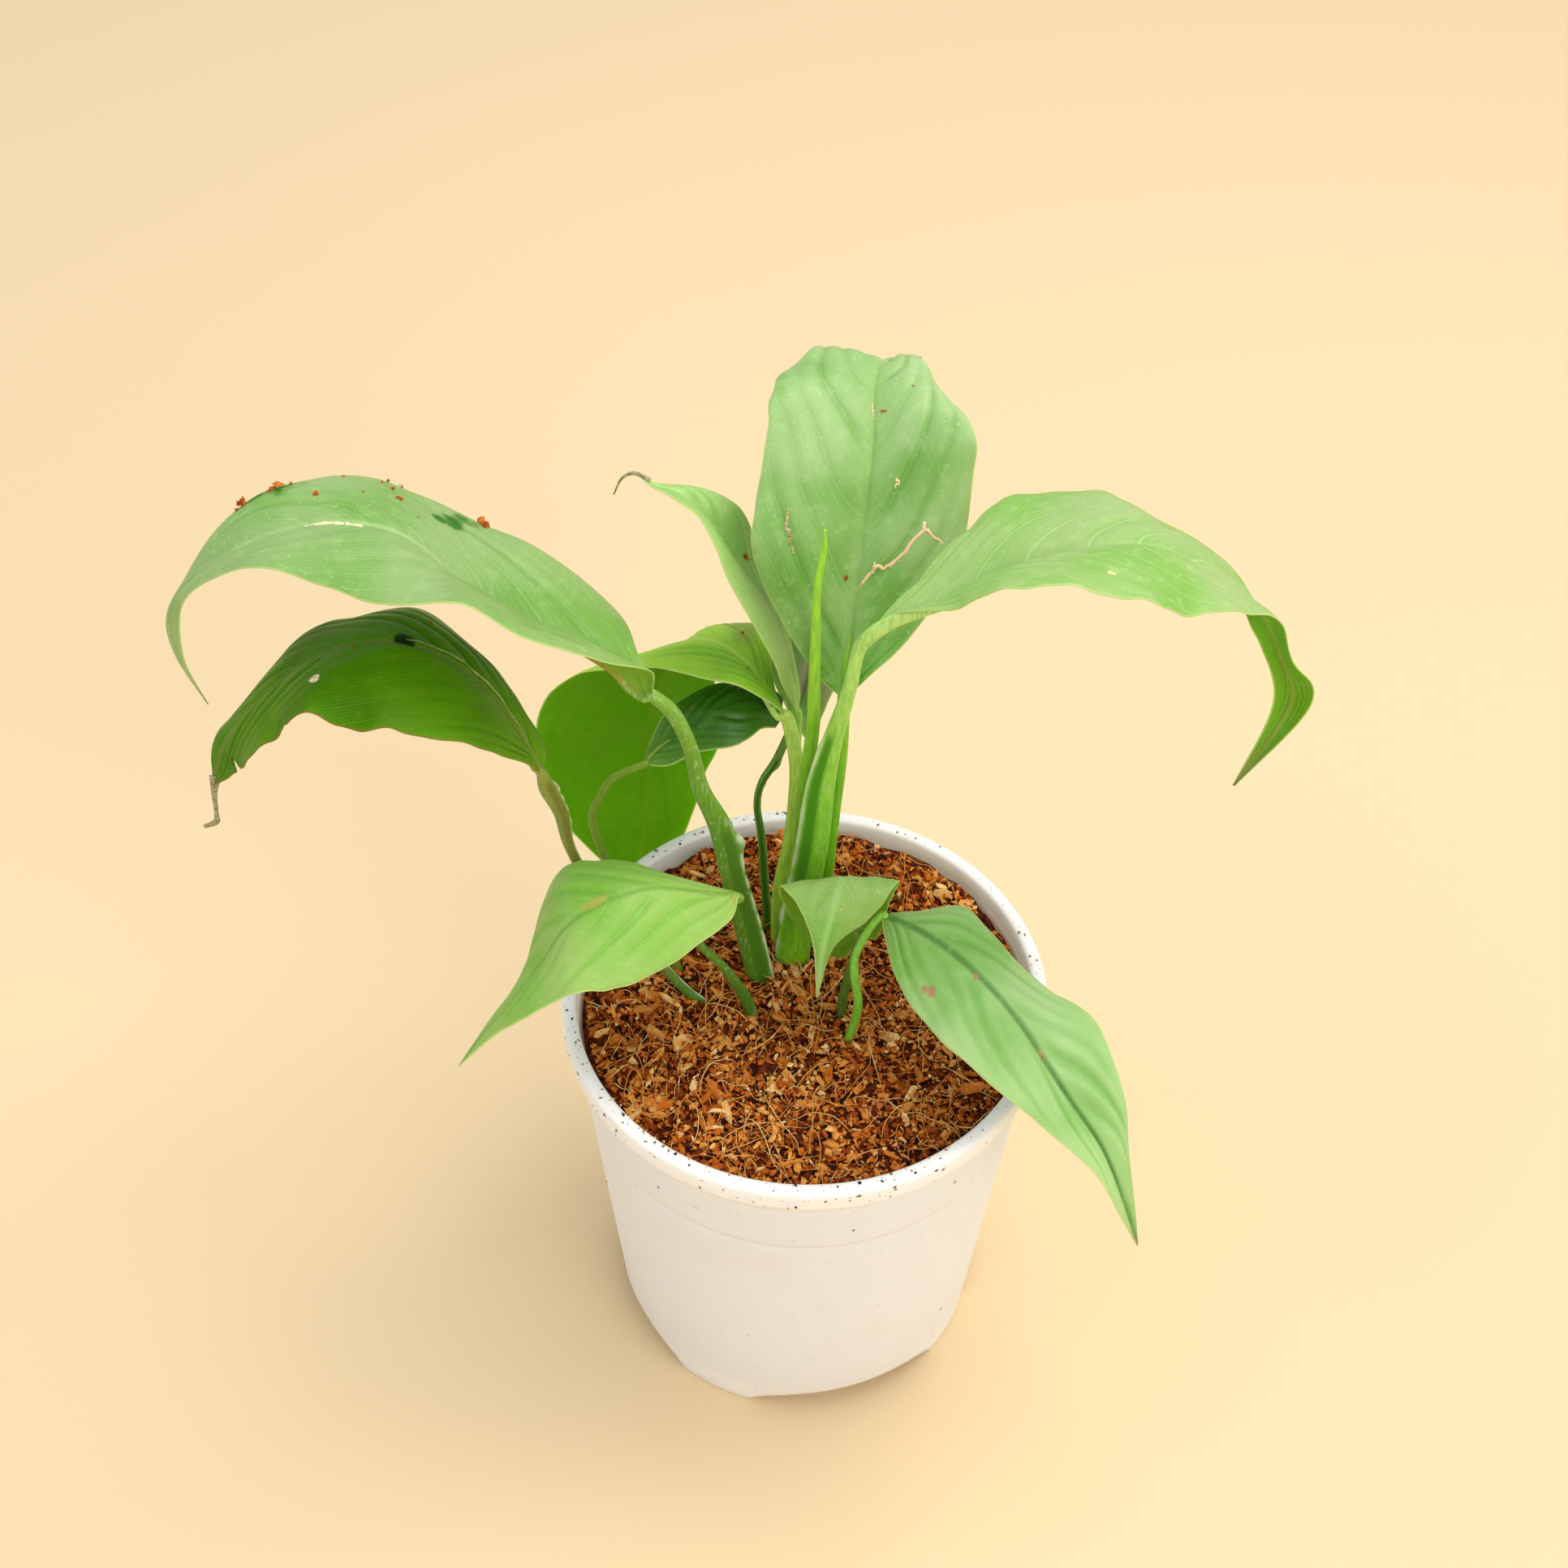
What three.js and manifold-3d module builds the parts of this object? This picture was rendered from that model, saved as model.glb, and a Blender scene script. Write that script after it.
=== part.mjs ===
// A peace lily in a round nursery pot: moulded pot, coir potting mix, rootstock, leaf stalks, leaf
// blades and one furled new leaf. Millimetres, +Z up, origin on the underside of the pot at its axis.
// Azimuth runs from +X (right) towards +Y (back); the plant is described as seen from -Y.
import * as THREE from "three";
import { mergeVertices } from "three/addons/utils/BufferGeometryUtils.js";
import Module from "manifold-3d";

const wasm = await Module();
wasm.setup();

// Driving dimensions.
const GAP = 0.4; // clearance between neighbouring solids
const POT = {
  height: 105,
  lipRadius: 52,
  lipInnerRadius: 48.8,
  skirtHeight: 5.5,
  neckRadius: 50,
  baseRadius: 41.7,
  wall: 1.5,
  floor: 1.6,
  footHeight: 6.5,
  footWidth: 2.4,
  hubRadius: 18,
  hubSlope: 2,
  shoulderHeight: 79,
  shoulderStep: 0.25,
  segments: 48,
};
const DRAIN = { count: 6, radius: 3.5, pitchRadius: 28, sides: 12 };
const ARCH = { count: 4, width: 44.8, rise: 6, reach: 24, firstAzimuth: -72, sides: 72 };
const SOIL = { edgeHeight: 97, crownHeight: 99, segments: 40 };
const CROWN = { x: -5, y: 8, top: 86.8, radius: 16, height: 17, segments: 14 };
const ROOT = { count: 5, startRadius: 1.8, endRadius: 0.8, reach: 17, drop: 38, sides: 6, rings: 4 };
const STALK = { sides: 8, foot: 88, ringsPerPoint: 1.3, endGap: 1.4 };
const BLADE = { thickness: 0.9, rows: 15, columns: 6, bow: 0.09 };

const COLOUR = {
  pot: 0xf3ece0,
  soil: 0x8a4a20,
  rootstock: 0xb9a27c,
  stalk: 0x5f8f2c,
  blade: 0x4f9440,
  youngLeaf: 0x8fc23c,
};

function finish(colour, roughness) {
  return new THREE.MeshStandardMaterial({ color: colour, roughness, metalness: 0 });
}

const FINISH = {
  pot: finish(COLOUR.pot, 0.45),
  soil: finish(COLOUR.soil, 0.95),
  rootstock: finish(COLOUR.rootstock, 0.8),
  stalk: finish(COLOUR.stalk, 0.5),
  blade: finish(COLOUR.blade, 0.55),
  youngLeaf: finish(COLOUR.youngLeaf, 0.5),
};

// The leaves. base is where the blade leaves its stalk, tip is its drip tip, and each row between
// them is one station along the blade: [left margin, midrib, right margin], seen along the blade
// from its base with the upper face up. A stalk row is [x, y, z, width, depth].
const LEAVES = [
  {
    name: "upper_left",
    base: [-31, 8, 185],
    rows: [
      [[-31, 3, 197], [-35, 9, 187], [-34, 16, 188]],
      [[-39, -5, 208], [-41, 9, 194], [-39, 25, 191]],
      [[-53, -10, 217], [-55, 11, 202], [-53, 30, 202]],
      [[-64, -10, 224], [-66, 12, 210], [-64, 32, 207]],
      [[-76, -7, 222], [-76, 13, 220], [-77, 31, 214]],
      [[-87, -4, 223], [-88, 14, 222], [-87, 31, 219]],
      [[-99, 0, 223], [-101, 13, 219], [-102, 25, 221]],
      [[-110, 5, 216], [-112, 12, 212], [-113, 18, 213]],
      [[-118, 8, 206], [-121, 12, 202], [-122, 16, 197]],
      [[-120, 9, 192], [-122, 12, 190], [-123, 15, 187]],
    ],
    tip: [-118, 12, 175],
    stalk: [
      [-9, 7, 95, 6.2, 2.6],
      [-12, 7, 115, 6, 2.6],
      [-15, 7, 131, 5.6, 2.6],
      [-18, 8, 147, 5, 2.6],
      [-22, 8, 159, 3.6, 2.8],
      [-24, 8, 171, 3, 3],
      [-27, 8, 180, 3, 3],
      [-31, 8, 185, 2.4, 2.4],
    ],
  },
  {
    name: "shaded_left",
    base: [-53, 4, 167],
    rows: [
      [[-57, -4, 179], [-55, 4, 174], [-53, 8, 170]],
      [[-64, -12, 191], [-60, 4, 186], [-58, 13, 178]],
      [[-74, -15, 197], [-68, 5, 196], [-66, 19, 187]],
      [[-84, -15, 198], [-79, 5, 201], [-78, 22, 192]],
      [[-93, -12, 198], [-91, 5, 198], [-90, 22, 191]],
      [[-102, -8, 186], [-101, 5, 190], [-101, 19, 186]],
      [[-109, -3, 175], [-110, 4, 180], [-111, 13, 176]],
      [[-112, 0, 169], [-115, 4, 171], [-117, 8, 171]],
    ],
    tip: [-118, 3, 162],
    stalk: [
      [-18, 1, 94, 2.8, 2.2],
      [-26, 2, 102, 2.3, 2.1],
      [-35, 5, 114, 2.2, 2.1],
      [-45, 7, 130, 2.2, 2.1],
      [-49, 7, 142, 2.3, 2.1],
      [-50, 6, 153, 2.8, 2],
      [-52, 5, 161, 3.2, 1.8],
      [-53, 4, 167, 1.8, 1.6],
    ],
  },
  {
    name: "arching_back",
    base: [-5, 22, 165],
    rows: [
      [[-9, 19, 173], [-9, 25, 169], [-8, 30, 166]],
      [[-16, 19, 178], [-14, 30, 173], [-10, 41, 171]],
      [[-26, 24, 175], [-21, 37, 172], [-16, 49, 165]],
      [[-37, 31, 169], [-27, 45, 163], [-20, 56, 155]],
      [[-51, 39, 159], [-33, 50, 147], [-21, 60, 135]],
      [[-59, 43, 141], [-36, 52, 128], [-20, 61, 119]],
      [[-58, 45, 119], [-37, 53, 108], [-24, 59, 106]],
      [[-54, 47, 102], [-38, 52, 91], [-29, 55, 90]],
    ],
    tip: [-39, 50, 75],
    stalk: [
      [-6, 16.5, 96, 3.2, 2.8],
      [-6, 17.5, 116, 3, 2.8],
      [-4, 18.5, 131, 3, 2.8],
      [-3, 19.5, 144, 3.1, 2.8],
      [-3, 20.5, 154, 3.1, 2.6],
      [-5, 22, 165, 2.6, 2],
    ],
  },
  {
    name: "inner",
    base: [-34, 16, 157],
    rows: [
      [[-33, 20, 158], [-31, 18, 160], [-29, 15, 158]],
      [[-29, 26, 163], [-25, 21, 163], [-23, 17, 160]],
      [[-21, 31, 165], [-19, 24, 166], [-15, 19, 160]],
      [[-13, 33, 164], [-12, 28, 165], [-10, 23, 161]],
      [[-8, 33, 162], [-8, 30, 163], [-7, 26, 159]],
    ],
    tip: [-6, 32, 161],
    stalk: [
      [-23, 8, 92, 2, 1.8],
      [-34, 11, 112, 1.8, 1.7],
      [-42, 14, 128, 1.7, 1.7],
      [-45, 16, 140, 1.7, 1.7],
      [-43, 16, 147, 1.7, 1.7],
      [-40, 16, 153, 1.7, 1.7],
      [-34, 16, 157, 1.6, 1.6],
    ],
  },
  {
    name: "narrow",
    base: [-3, 28, 160],
    rows: [
      [[-6, 24, 172], [-4, 28, 169], [-3, 32, 163]],
      [[-9, 22, 183], [-6, 27, 182], [-5, 32, 177]],
      [[-15, 22, 198], [-10, 28, 192], [-8, 33, 187]],
      [[-19, 24, 208], [-16, 30, 200], [-11, 35, 194]],
      [[-23, 27, 214], [-21, 32, 208], [-14, 37, 206]],
      [[-28, 30, 216], [-26, 33, 214], [-21, 37, 212]],
      [[-32, 33, 216], [-31, 34, 215], [-30, 35, 215]],
    ],
    tip: [-34, 35, 217],
    stalk: [
      [-3, 24, 95, 2.2, 2],
      [-4, 24, 124, 2, 2],
      [-2, 25, 139, 2, 2],
      [-3, 26, 150, 2, 2],
      [-3, 28, 160, 2, 1.8],
    ],
  },
  {
    name: "tall_back",
    base: [6, 18, 175],
    rows: [
      [[1, 18, 181], [6, 20, 181], [11, 16, 184]],
      [[-6, 20, 193], [7, 23, 191], [19, 21, 191]],
      [[-12, 23, 207], [8, 28, 202], [27, 27, 204]],
      [[-12, 29, 216], [9, 34, 212], [29, 33, 217]],
      [[-10, 36, 226], [10, 41, 221], [29, 37, 227]],
      [[-10, 43, 231], [10, 49, 227], [26, 43, 229]],
      [[-6, 52, 230], [11, 55, 228], [22, 51, 230]],
      [[-1, 60, 228], [12, 60, 226], [19, 58, 229]],
      [[0, 68, 217], [11, 68, 216], [19, 67, 218]],
    ],
    tip: [9, 76, 190],
    stalk: [
      [3, 16, 98, 2.8, 2.6],
      [4, 16, 123, 2.8, 2.6],
      [5, 17, 143, 2.7, 2.4],
      [6, 17, 160, 2.5, 2.2],
      [6, 18, 175, 2.4, 2],
    ],
  },
  {
    name: "hidden_back",
    base: [-4, 30, 155],
    rows: [
      [[-5, 34, 155], [-3, 36, 155], [0, 32, 150]],
      [[-9, 42, 160], [-1, 41, 161], [5, 38, 160]],
      [[-9, 52, 167], [0, 48, 170], [8, 46, 170]],
      [[-7, 60, 174], [1, 56, 177], [8, 54, 177]],
      [[-3, 66, 180], [2, 63, 182], [6, 61, 183]],
    ],
    tip: [3, 76, 166],
    stalk: [
      [-8, 20, 95, 2.2, 2],
      [-9, 20, 113, 1.8, 1.8],
      [-10, 21, 130, 1.7, 1.7],
      [-11, 22, 139, 1.5, 1.6],
      [-10, 23, 145, 1.6, 1.6],
      [-7, 26, 149, 1.8, 1.6],
      [-4, 30, 155, 1.6, 1.6],
    ],
  },
  {
    name: "upper_right",
    base: [8, 10, 196],
    rows: [
      [[13, 13, 203], [14, 10, 204], [13, 9, 206]],
      [[20, 18, 210], [23, 9, 211], [23, -2, 219]],
      [[28, 23, 217], [32, 9, 217], [32, -9, 230]],
      [[38, 29, 219], [42, 8, 223], [42, -11, 233]],
      [[52, 29, 220], [52, 7, 227], [52, -11, 231]],
      [[64, 28, 214], [62, 7, 226], [62, -9, 226]],
      [[78, 25, 204], [75, 8, 217], [72, -5, 222]],
      [[80, 12, 206], [82, 8, 210], [83, 3, 214]],
      [[84, 9, 199], [87, 7, 200], [88, 3, 203]],
      [[87, 6, 188], [90, 5, 189], [93, 2, 192]],
    ],
    tip: [82, 4, 166],
    stalk: [
      [-3, 12, 94, 7.6, 3.8],
      [-2, 11.5, 115, 7.2, 3.8],
      [0, 11.5, 132, 6.9, 3.6],
      [1, 11.5, 144, 6.6, 3.4],
      [2, 11.5, 158, 5.8, 3],
      [4, 11, 171, 4, 3],
      [6, 10, 182, 3.1, 3],
      [7, 10, 188, 2.8, 2.8],
      [8, 10, 196, 2.6, 2.4],
    ],
  },
  {
    name: "lower_left",
    base: [-14, -3, 140],
    rows: [
      [[-16, -10, 139], [-19, -4, 141], [-19, 1, 137]],
      [[-26, -19, 138], [-30, -7, 146], [-33, 3, 140]],
      [[-36, -26, 138], [-39, -11, 147], [-42, 3, 142]],
      [[-45, -29, 139], [-47, -15, 144], [-50, 1, 142]],
      [[-52, -29, 135], [-52, -19, 138], [-54, -5, 133]],
      [[-59, -28, 127], [-58, -23, 130], [-57, -15, 128]],
      [[-65, -27, 119], [-65, -24, 119], [-63, -21, 121]],
    ],
    tip: [-71, -26, 110],
    stalk: [
      [-10, -3, 93, 2.5, 2.2],
      [-12, -3, 103, 2.8, 2],
      [-14, -3, 109, 2.5, 1.9],
      [-18, -3, 117, 1.9, 1.8],
      [-22, -3, 123, 1.8, 1.8],
      [-23, -3, 129, 1.8, 1.8],
      [-20, -3, 135, 1.8, 1.8],
      [-14, -3, 138, 1.6, 1.6],
    ],
  },
  {
    name: "front",
    base: [11, 0, 123],
    rows: [
      [[15, 4, 118], [10, 2, 127], [7, 4, 111]],
      [[17, 3, 131], [9, 1, 135], [-3, 4, 123]],
      [[18, -3, 144], [7, -4, 146], [-6, -4, 144]],
      [[12, -10, 141], [5, -12, 147], [-2, -11, 145]],
      [[5, -16, 139], [3, -18, 141], [1, -17, 141]],
    ],
    tip: [2, -22, 130],
    stalk: [
      [8, -2, 94, 2.3, 2],
      [8, -2, 103, 2.1, 2],
      [9, -1, 111, 2, 1.9],
      [11, 0, 123, 1.8, 1.8],
    ],
  },
  {
    name: "lower_right",
    base: [15, -3, 134],
    rows: [
      [[22, -1, 133], [20, -6, 135], [16, -9, 132]],
      [[32, -1, 135], [27, -12, 136], [19, -19, 130]],
      [[39, -7, 131], [35, -19, 134], [27, -30, 128]],
      [[49, -15, 126], [43, -26, 128], [37, -38, 124]],
      [[58, -23, 127], [52, -33, 116], [48, -43, 117]],
      [[64, -32, 115], [60, -39, 106], [58, -46, 107]],
      [[67, -39, 101], [65, -43, 95], [63, -47, 97]],
    ],
    tip: [71, -44, 76],
    stalk: [
      [8, -9, 95, 1.7, 1.7],
      [10, -9, 103, 1.9, 1.8],
      [11, -9, 112, 1.9, 1.8],
      [10, -8, 120, 1.8, 1.7],
      [10, -6, 124, 1.7, 1.7],
      [12, -4, 129, 1.7, 1.7],
      [15, -3, 134, 1.6, 1.6],
    ],
  },
];

// The furled new leaf stands between the two tallest stalks, as a slim spindle.
const SPEAR = [
  [-2, 15, 124, 2, 2],
  [-2, 15, 142, 2.5, 2.4],
  [-1, 15, 155, 3, 2.6],
  [0, 16, 169, 2.9, 2.6],
  [0, 16, 178, 2.7, 2.5],
  [0, 16, 194, 2.2, 2.2],
  [0, 15, 207, 1.7, 1.7],
  [1, 15, 217, 1.2, 1.2],
  [1, 15, 222, 0.7, 0.7],
];

// Underground the stalks draw in towards the crown: x and y of each foot.
const FEET = {
  upper_left: [-9, 7],
  shaded_left: [-15, 2],
  arching_back: [-6, 16],
  inner: [-18, 8],
  narrow: [-3, 22.5],
  tall_back: [2.5, 16],
  hidden_back: [-8, 20],
  upper_right: [-3, 11.5],
  lower_left: [-9.5, -2.5],
  front: [6.5, -1.5],
  lower_right: [6, -6.5],
};

function vector([x, y, z]) {
  return new THREE.Vector3(x, y, z);
}

function smoothCurve(points) {
  return new THREE.CatmullRomCurve3(points, false, "catmullrom", 0.5);
}

// A geometry from corner positions and corner indices.
function geometryOf(corners, faces) {
  const geometry = new THREE.BufferGeometry();
  const flat = corners.flatMap((corner) => corner.toArray());
  geometry.setAttribute("position", new THREE.Float32BufferAttribute(flat, 3));
  geometry.setIndex(faces);
  return geometry;
}

// The middle surface of a blade: a grid of points from the left margin over the midrib to the right
// margin, with each half bowed up between midrib and margin.
function bladeSurface({ base, rows, tip }) {
  const rails = [0, 1, 2].map((side) =>
    smoothCurve([base, ...rows.map((row) => row[side]), tip].map(vector)),
  );
  const segments = rows.length + 1;
  const start = 0.3 / segments;
  const end = 1 - 0.1 / segments;
  const grid = [];
  for (let i = 0; i <= BLADE.rows; i++) {
    const u = start + ((end - start) * i) / BLADE.rows;
    const [left, rib, right] = rails.map((rail) => rail.getPoint(u));
    const along = rails[1].getTangent(u);
    const up = right.clone().sub(left).cross(along).normalize();
    const line = [];
    for (let j = 0; j <= BLADE.columns; j++) {
      const across = (2 * j) / BLADE.columns - 1;
      const margin = across < 0 ? left : right;
      const share = Math.abs(across);
      const bow = BLADE.bow * rib.distanceTo(margin) * 4 * share * (1 - share);
      line.push(rib.clone().lerp(margin, share).addScaledVector(up, bow));
    }
    grid.push(line);
  }
  return grid;
}

// A sheet of even thickness about a grid of points, closed along its four edges.
function sheetGeometry(grid, thickness) {
  const rows = grid.length;
  const columns = grid[0].length;
  const at = (i, j) => grid[Math.min(Math.max(i, 0), rows - 1)][Math.min(Math.max(j, 0), columns - 1)];
  const corners = [];
  for (const side of [0.5, -0.5]) {
    for (let i = 0; i < rows; i++) {
      for (let j = 0; j < columns; j++) {
        const along = at(i + 1, j).clone().sub(at(i - 1, j));
        const across = at(i, j + 1).clone().sub(at(i, j - 1));
        const normal = across.cross(along).normalize();
        corners.push(grid[i][j].clone().addScaledVector(normal, side * thickness));
      }
    }
  }
  const top = (i, j) => i * columns + j;
  const under = (i, j) => rows * columns + top(i, j);
  const faces = [];
  const quad = (a, b, c, d) => faces.push(a, b, c, a, c, d);
  for (let i = 0; i < rows - 1; i++) {
    for (let j = 0; j < columns - 1; j++) {
      quad(top(i, j), top(i, j + 1), top(i + 1, j + 1), top(i + 1, j));
      quad(under(i, j), under(i + 1, j), under(i + 1, j + 1), under(i, j + 1));
    }
    const last = columns - 1;
    quad(top(i, 0), top(i + 1, 0), under(i + 1, 0), under(i, 0));
    quad(top(i + 1, last), top(i, last), under(i, last), under(i + 1, last));
  }
  for (let j = 0; j < columns - 1; j++) {
    const last = rows - 1;
    quad(top(0, j + 1), top(0, j), under(0, j), under(0, j + 1));
    quad(top(last, j), top(last, j + 1), under(last, j + 1), under(last, j));
  }
  return geometryOf(corners, faces);
}

// A stem of elliptical section through rows of [x, y, z, width, depth]. grow widens it all round
// and lengthens both ends; cut shortens its far end.
function stemGeometry(rows, { sides = STALK.sides, rings, grow = 0, cut = 0 }) {
  const path = smoothCurve(rows.map(vector));
  const sizes = smoothCurve(rows.map((row) => new THREE.Vector3(row[3], row[4], 0)));
  const length = path.getLength();
  const corners = [];
  for (let i = 0; i <= rings; i++) {
    const u = (i / rings) * (1 - cut / length);
    const along = path.getTangent(u);
    const across = new THREE.Vector3(0, 1, 0).cross(along).normalize();
    const deep = along.clone().cross(across);
    const size = sizes.getPoint(u);
    const centre = path.getPoint(u);
    if (i === 0) centre.addScaledVector(along, -grow);
    if (i === rings) centre.addScaledVector(along, grow);
    for (let k = 0; k < sides; k++) {
      const angle = (2 * Math.PI * k) / sides;
      const point = centre.clone();
      point.addScaledVector(across, (size.x / 2 + grow) * Math.cos(angle));
      point.addScaledVector(deep, (size.y / 2 + grow) * Math.sin(angle));
      corners.push(point);
    }
  }
  const faces = [];
  for (let i = 0; i < rings; i++) {
    for (let k = 0; k < sides; k++) {
      const a = i * sides + k;
      const b = i * sides + ((k + 1) % sides);
      faces.push(a, b, b + sides, a, b + sides, a + sides);
    }
  }
  const lastRing = rings * sides;
  for (let k = 1; k < sides - 1; k++) {
    faces.push(0, k + 1, k);
    faces.push(lastRing, lastRing + k, lastRing + k + 1);
  }
  return geometryOf(corners, faces);
}

// A leaf stalk with its underground foot, ending just short of the blade.
function stalkGeometry({ name, stalk }, grow = 0) {
  const foot = [...FEET[name], STALK.foot, stalk[0][3], stalk[0][4]];
  const rows = [foot, ...stalk];
  const rings = Math.round(rows.length * STALK.ringsPerPoint);
  return stemGeometry(rows, { rings, grow, cut: STALK.endGap });
}

// A closed profile of [radius, height] pairs turned about +Z.
function turned(profile, segments) {
  const points = profile.map(([radius, height]) => new THREE.Vector2(radius, height));
  return new THREE.LatheGeometry(points, segments).rotateX(Math.PI / 2);
}

// Radius of the pot's outer wall at a height.
function outerRadius(height) {
  const neckHeight = POT.height - POT.skirtHeight;
  const taper = (POT.neckRadius - POT.baseRadius) / neckHeight;
  const step = height > POT.shoulderHeight ? POT.shoulderStep : 0;
  return POT.baseRadius + taper * height + step - POT.shoulderStep;
}

// Pot section: hub, raised floor channel, inner wall, rolled lip, skirt, wall, shoulder and foot.
function potGeometry() {
  const neckHeight = POT.height - POT.skirtHeight;
  const innerRadius = (height) => outerRadius(height) - POT.wall;
  const channel = POT.footHeight + POT.floor;
  const hubWall = POT.hubRadius - POT.wall;
  return turned(
    [
      [0, POT.floor],
      [hubWall, POT.floor],
      [hubWall + POT.hubSlope, channel],
      [innerRadius(channel), channel],
      [innerRadius(neckHeight), neckHeight],
      [POT.lipInnerRadius, neckHeight + 1],
      [POT.lipInnerRadius, POT.height - 0.8],
      [POT.lipInnerRadius + 0.8, POT.height],
      [POT.lipRadius - 0.8, POT.height],
      [POT.lipRadius, POT.height - 0.8],
      [POT.lipRadius, neckHeight + 0.3],
      [POT.lipRadius - 0.4, neckHeight],
      [outerRadius(neckHeight), neckHeight],
      [outerRadius(POT.shoulderHeight + 1), POT.shoulderHeight + 1],
      [outerRadius(POT.shoulderHeight), POT.shoulderHeight],
      [outerRadius(0), 0],
      [outerRadius(0) - POT.footWidth, 0],
      [outerRadius(0) - POT.footWidth - 0.6, POT.footHeight],
      [POT.hubRadius + POT.hubSlope, POT.footHeight],
      [POT.hubRadius, 0],
      [0, 0],
    ].reverse(),
    POT.segments,
  );
}

function azimuths(count, first = 0) {
  return Array.from({ length: count }, (_, i) => THREE.MathUtils.degToRad(first + (360 * i) / count));
}

// Cutters for the drain holes in the floor channel.
function drainCutters() {
  const depth = 4 * POT.floor;
  return azimuths(DRAIN.count).map((azimuth) =>
    new THREE.CylinderGeometry(DRAIN.radius, DRAIN.radius, depth, DRAIN.sides)
      .rotateX(Math.PI / 2)
      .translate(
        DRAIN.pitchRadius * Math.cos(azimuth),
        DRAIN.pitchRadius * Math.sin(azimuth),
        POT.footHeight + POT.floor / 2,
      ),
  );
}

// Cutters for the low arches between the feet: wide cylinders lying along the radius.
function archCutters() {
  const radius = (ARCH.width ** 2 / 4 + ARCH.rise ** 2) / (2 * ARCH.rise);
  return azimuths(ARCH.count, ARCH.firstAzimuth).map((azimuth) =>
    new THREE.CylinderGeometry(radius, radius, ARCH.reach, ARCH.sides)
      .rotateZ(Math.PI / 2)
      .translate(POT.baseRadius, 0, ARCH.rise - radius)
      .rotateZ(azimuth),
  );
}

// Potting mix: fills the pot up to a low mound, clear of the floor and wall.
function soilGeometry() {
  const channel = POT.footHeight + POT.floor + GAP;
  const hubWall = POT.hubRadius - POT.wall - GAP;
  const radiusAt = (height) => outerRadius(height) - POT.wall - GAP;
  const mound = SOIL.crownHeight - SOIL.edgeHeight;
  const rim = radiusAt(SOIL.edgeHeight);
  const moundRing = (share) => [rim * share, SOIL.edgeHeight + mound * (1 - share ** 2)];
  return turned(
    [
      [0, POT.floor + GAP],
      [hubWall, POT.floor + GAP],
      [hubWall + POT.hubSlope, channel],
      [radiusAt(channel), channel],
      [radiusAt(POT.shoulderHeight), POT.shoulderHeight],
      moundRing(1),
      moundRing(0.66),
      moundRing(0.33),
      moundRing(0),
    ],
    SOIL.segments,
  );
}

// Rootstock crown: a squat knuckle with a level top that the stalks rise from.
function crownGeometry(grow = 0) {
  const { radius, top, height, segments } = CROWN;
  const side = radius + grow;
  return turned(
    [
      [0, top - height - grow],
      [side * 0.6, top - height * 0.85 - grow],
      [side, top - height * 0.45],
      [side * 0.97, top - height * 0.15],
      [side * 0.86, top + grow],
      [0, top + grow],
    ],
    segments,
  ).translate(CROWN.x, CROWN.y, 0);
}

// Thick roots that leave the crown low down and spread as they drop.
function rootGeometries(grow = 0) {
  return azimuths(ROOT.count, 20).map((azimuth) => {
    const spread = [0.35, 0.7, 0.9, 1].map((share) => share * (CROWN.radius * 0.5 + ROOT.reach * share));
    const rows = spread.map((radius, i) => {
      const share = i / (spread.length - 1);
      const width = 2 * (ROOT.startRadius + (ROOT.endRadius - ROOT.startRadius) * share);
      return [
        CROWN.x + radius * Math.cos(azimuth),
        CROWN.y * (1 - share) + radius * Math.sin(azimuth),
        CROWN.top - CROWN.height * 0.6 - ROOT.drop * share,
        width,
        width,
      ];
    });
    return stemGeometry(rows, { sides: ROOT.sides, rings: ROOT.rings, grow });
  });
}

function solidOf(geometry) {
  const bare = geometry.clone();
  bare.deleteAttribute("normal");
  bare.deleteAttribute("uv");
  const merged = mergeVertices(bare, 1e-4);
  return new wasm.Manifold(
    new wasm.Mesh({
      numProp: 3,
      vertProperties: merged.attributes.position.array,
      triVerts: new Uint32Array(merged.index.array),
    }),
  );
}

function geometryFrom(solid) {
  const { vertProperties, triVerts } = solid.getMesh();
  const geometry = new THREE.BufferGeometry();
  geometry.setAttribute("position", new THREE.BufferAttribute(vertProperties, 3));
  geometry.setIndex(new THREE.BufferAttribute(triVerts, 1));
  return geometry;
}

function cutFrom(geometry, cutters) {
  const rest = cutters.reduce((solid, cutter) => solid.subtract(solidOf(cutter)), solidOf(geometry));
  return geometryFrom(rest);
}

function joined(geometries) {
  const [first, ...others] = geometries.map(solidOf);
  return geometryFrom(others.reduce((solid, other) => solid.add(other), first));
}

const plant = new THREE.Group();

function addPiece(name, geometry, material) {
  const mesh = new THREE.Mesh(geometry, material);
  mesh.name = name;
  plant.add(mesh);
}

addPiece("nursery_pot", cutFrom(potGeometry(), [...drainCutters(), ...archCutters()]), FINISH.pot);
addPiece("rootstock", joined([crownGeometry(), ...rootGeometries()]), FINISH.rootstock);

const stalkPockets = LEAVES.map((leaf) => stalkGeometry(leaf, GAP));
const pockets = [crownGeometry(GAP), ...rootGeometries(GAP), ...stalkPockets];
addPiece("potting_mix", cutFrom(soilGeometry(), pockets), FINISH.soil);

for (const leaf of LEAVES) {
  addPiece(leaf.name + "_stalk", stalkGeometry(leaf), FINISH.stalk);
  addPiece(leaf.name + "_blade", sheetGeometry(bladeSurface(leaf), BLADE.thickness), FINISH.blade);
}
addPiece("furled_leaf", stemGeometry(SPEAR, { rings: SPEAR.length + 2 }), FINISH.youngLeaf);

export default plant;
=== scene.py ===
import math

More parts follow.
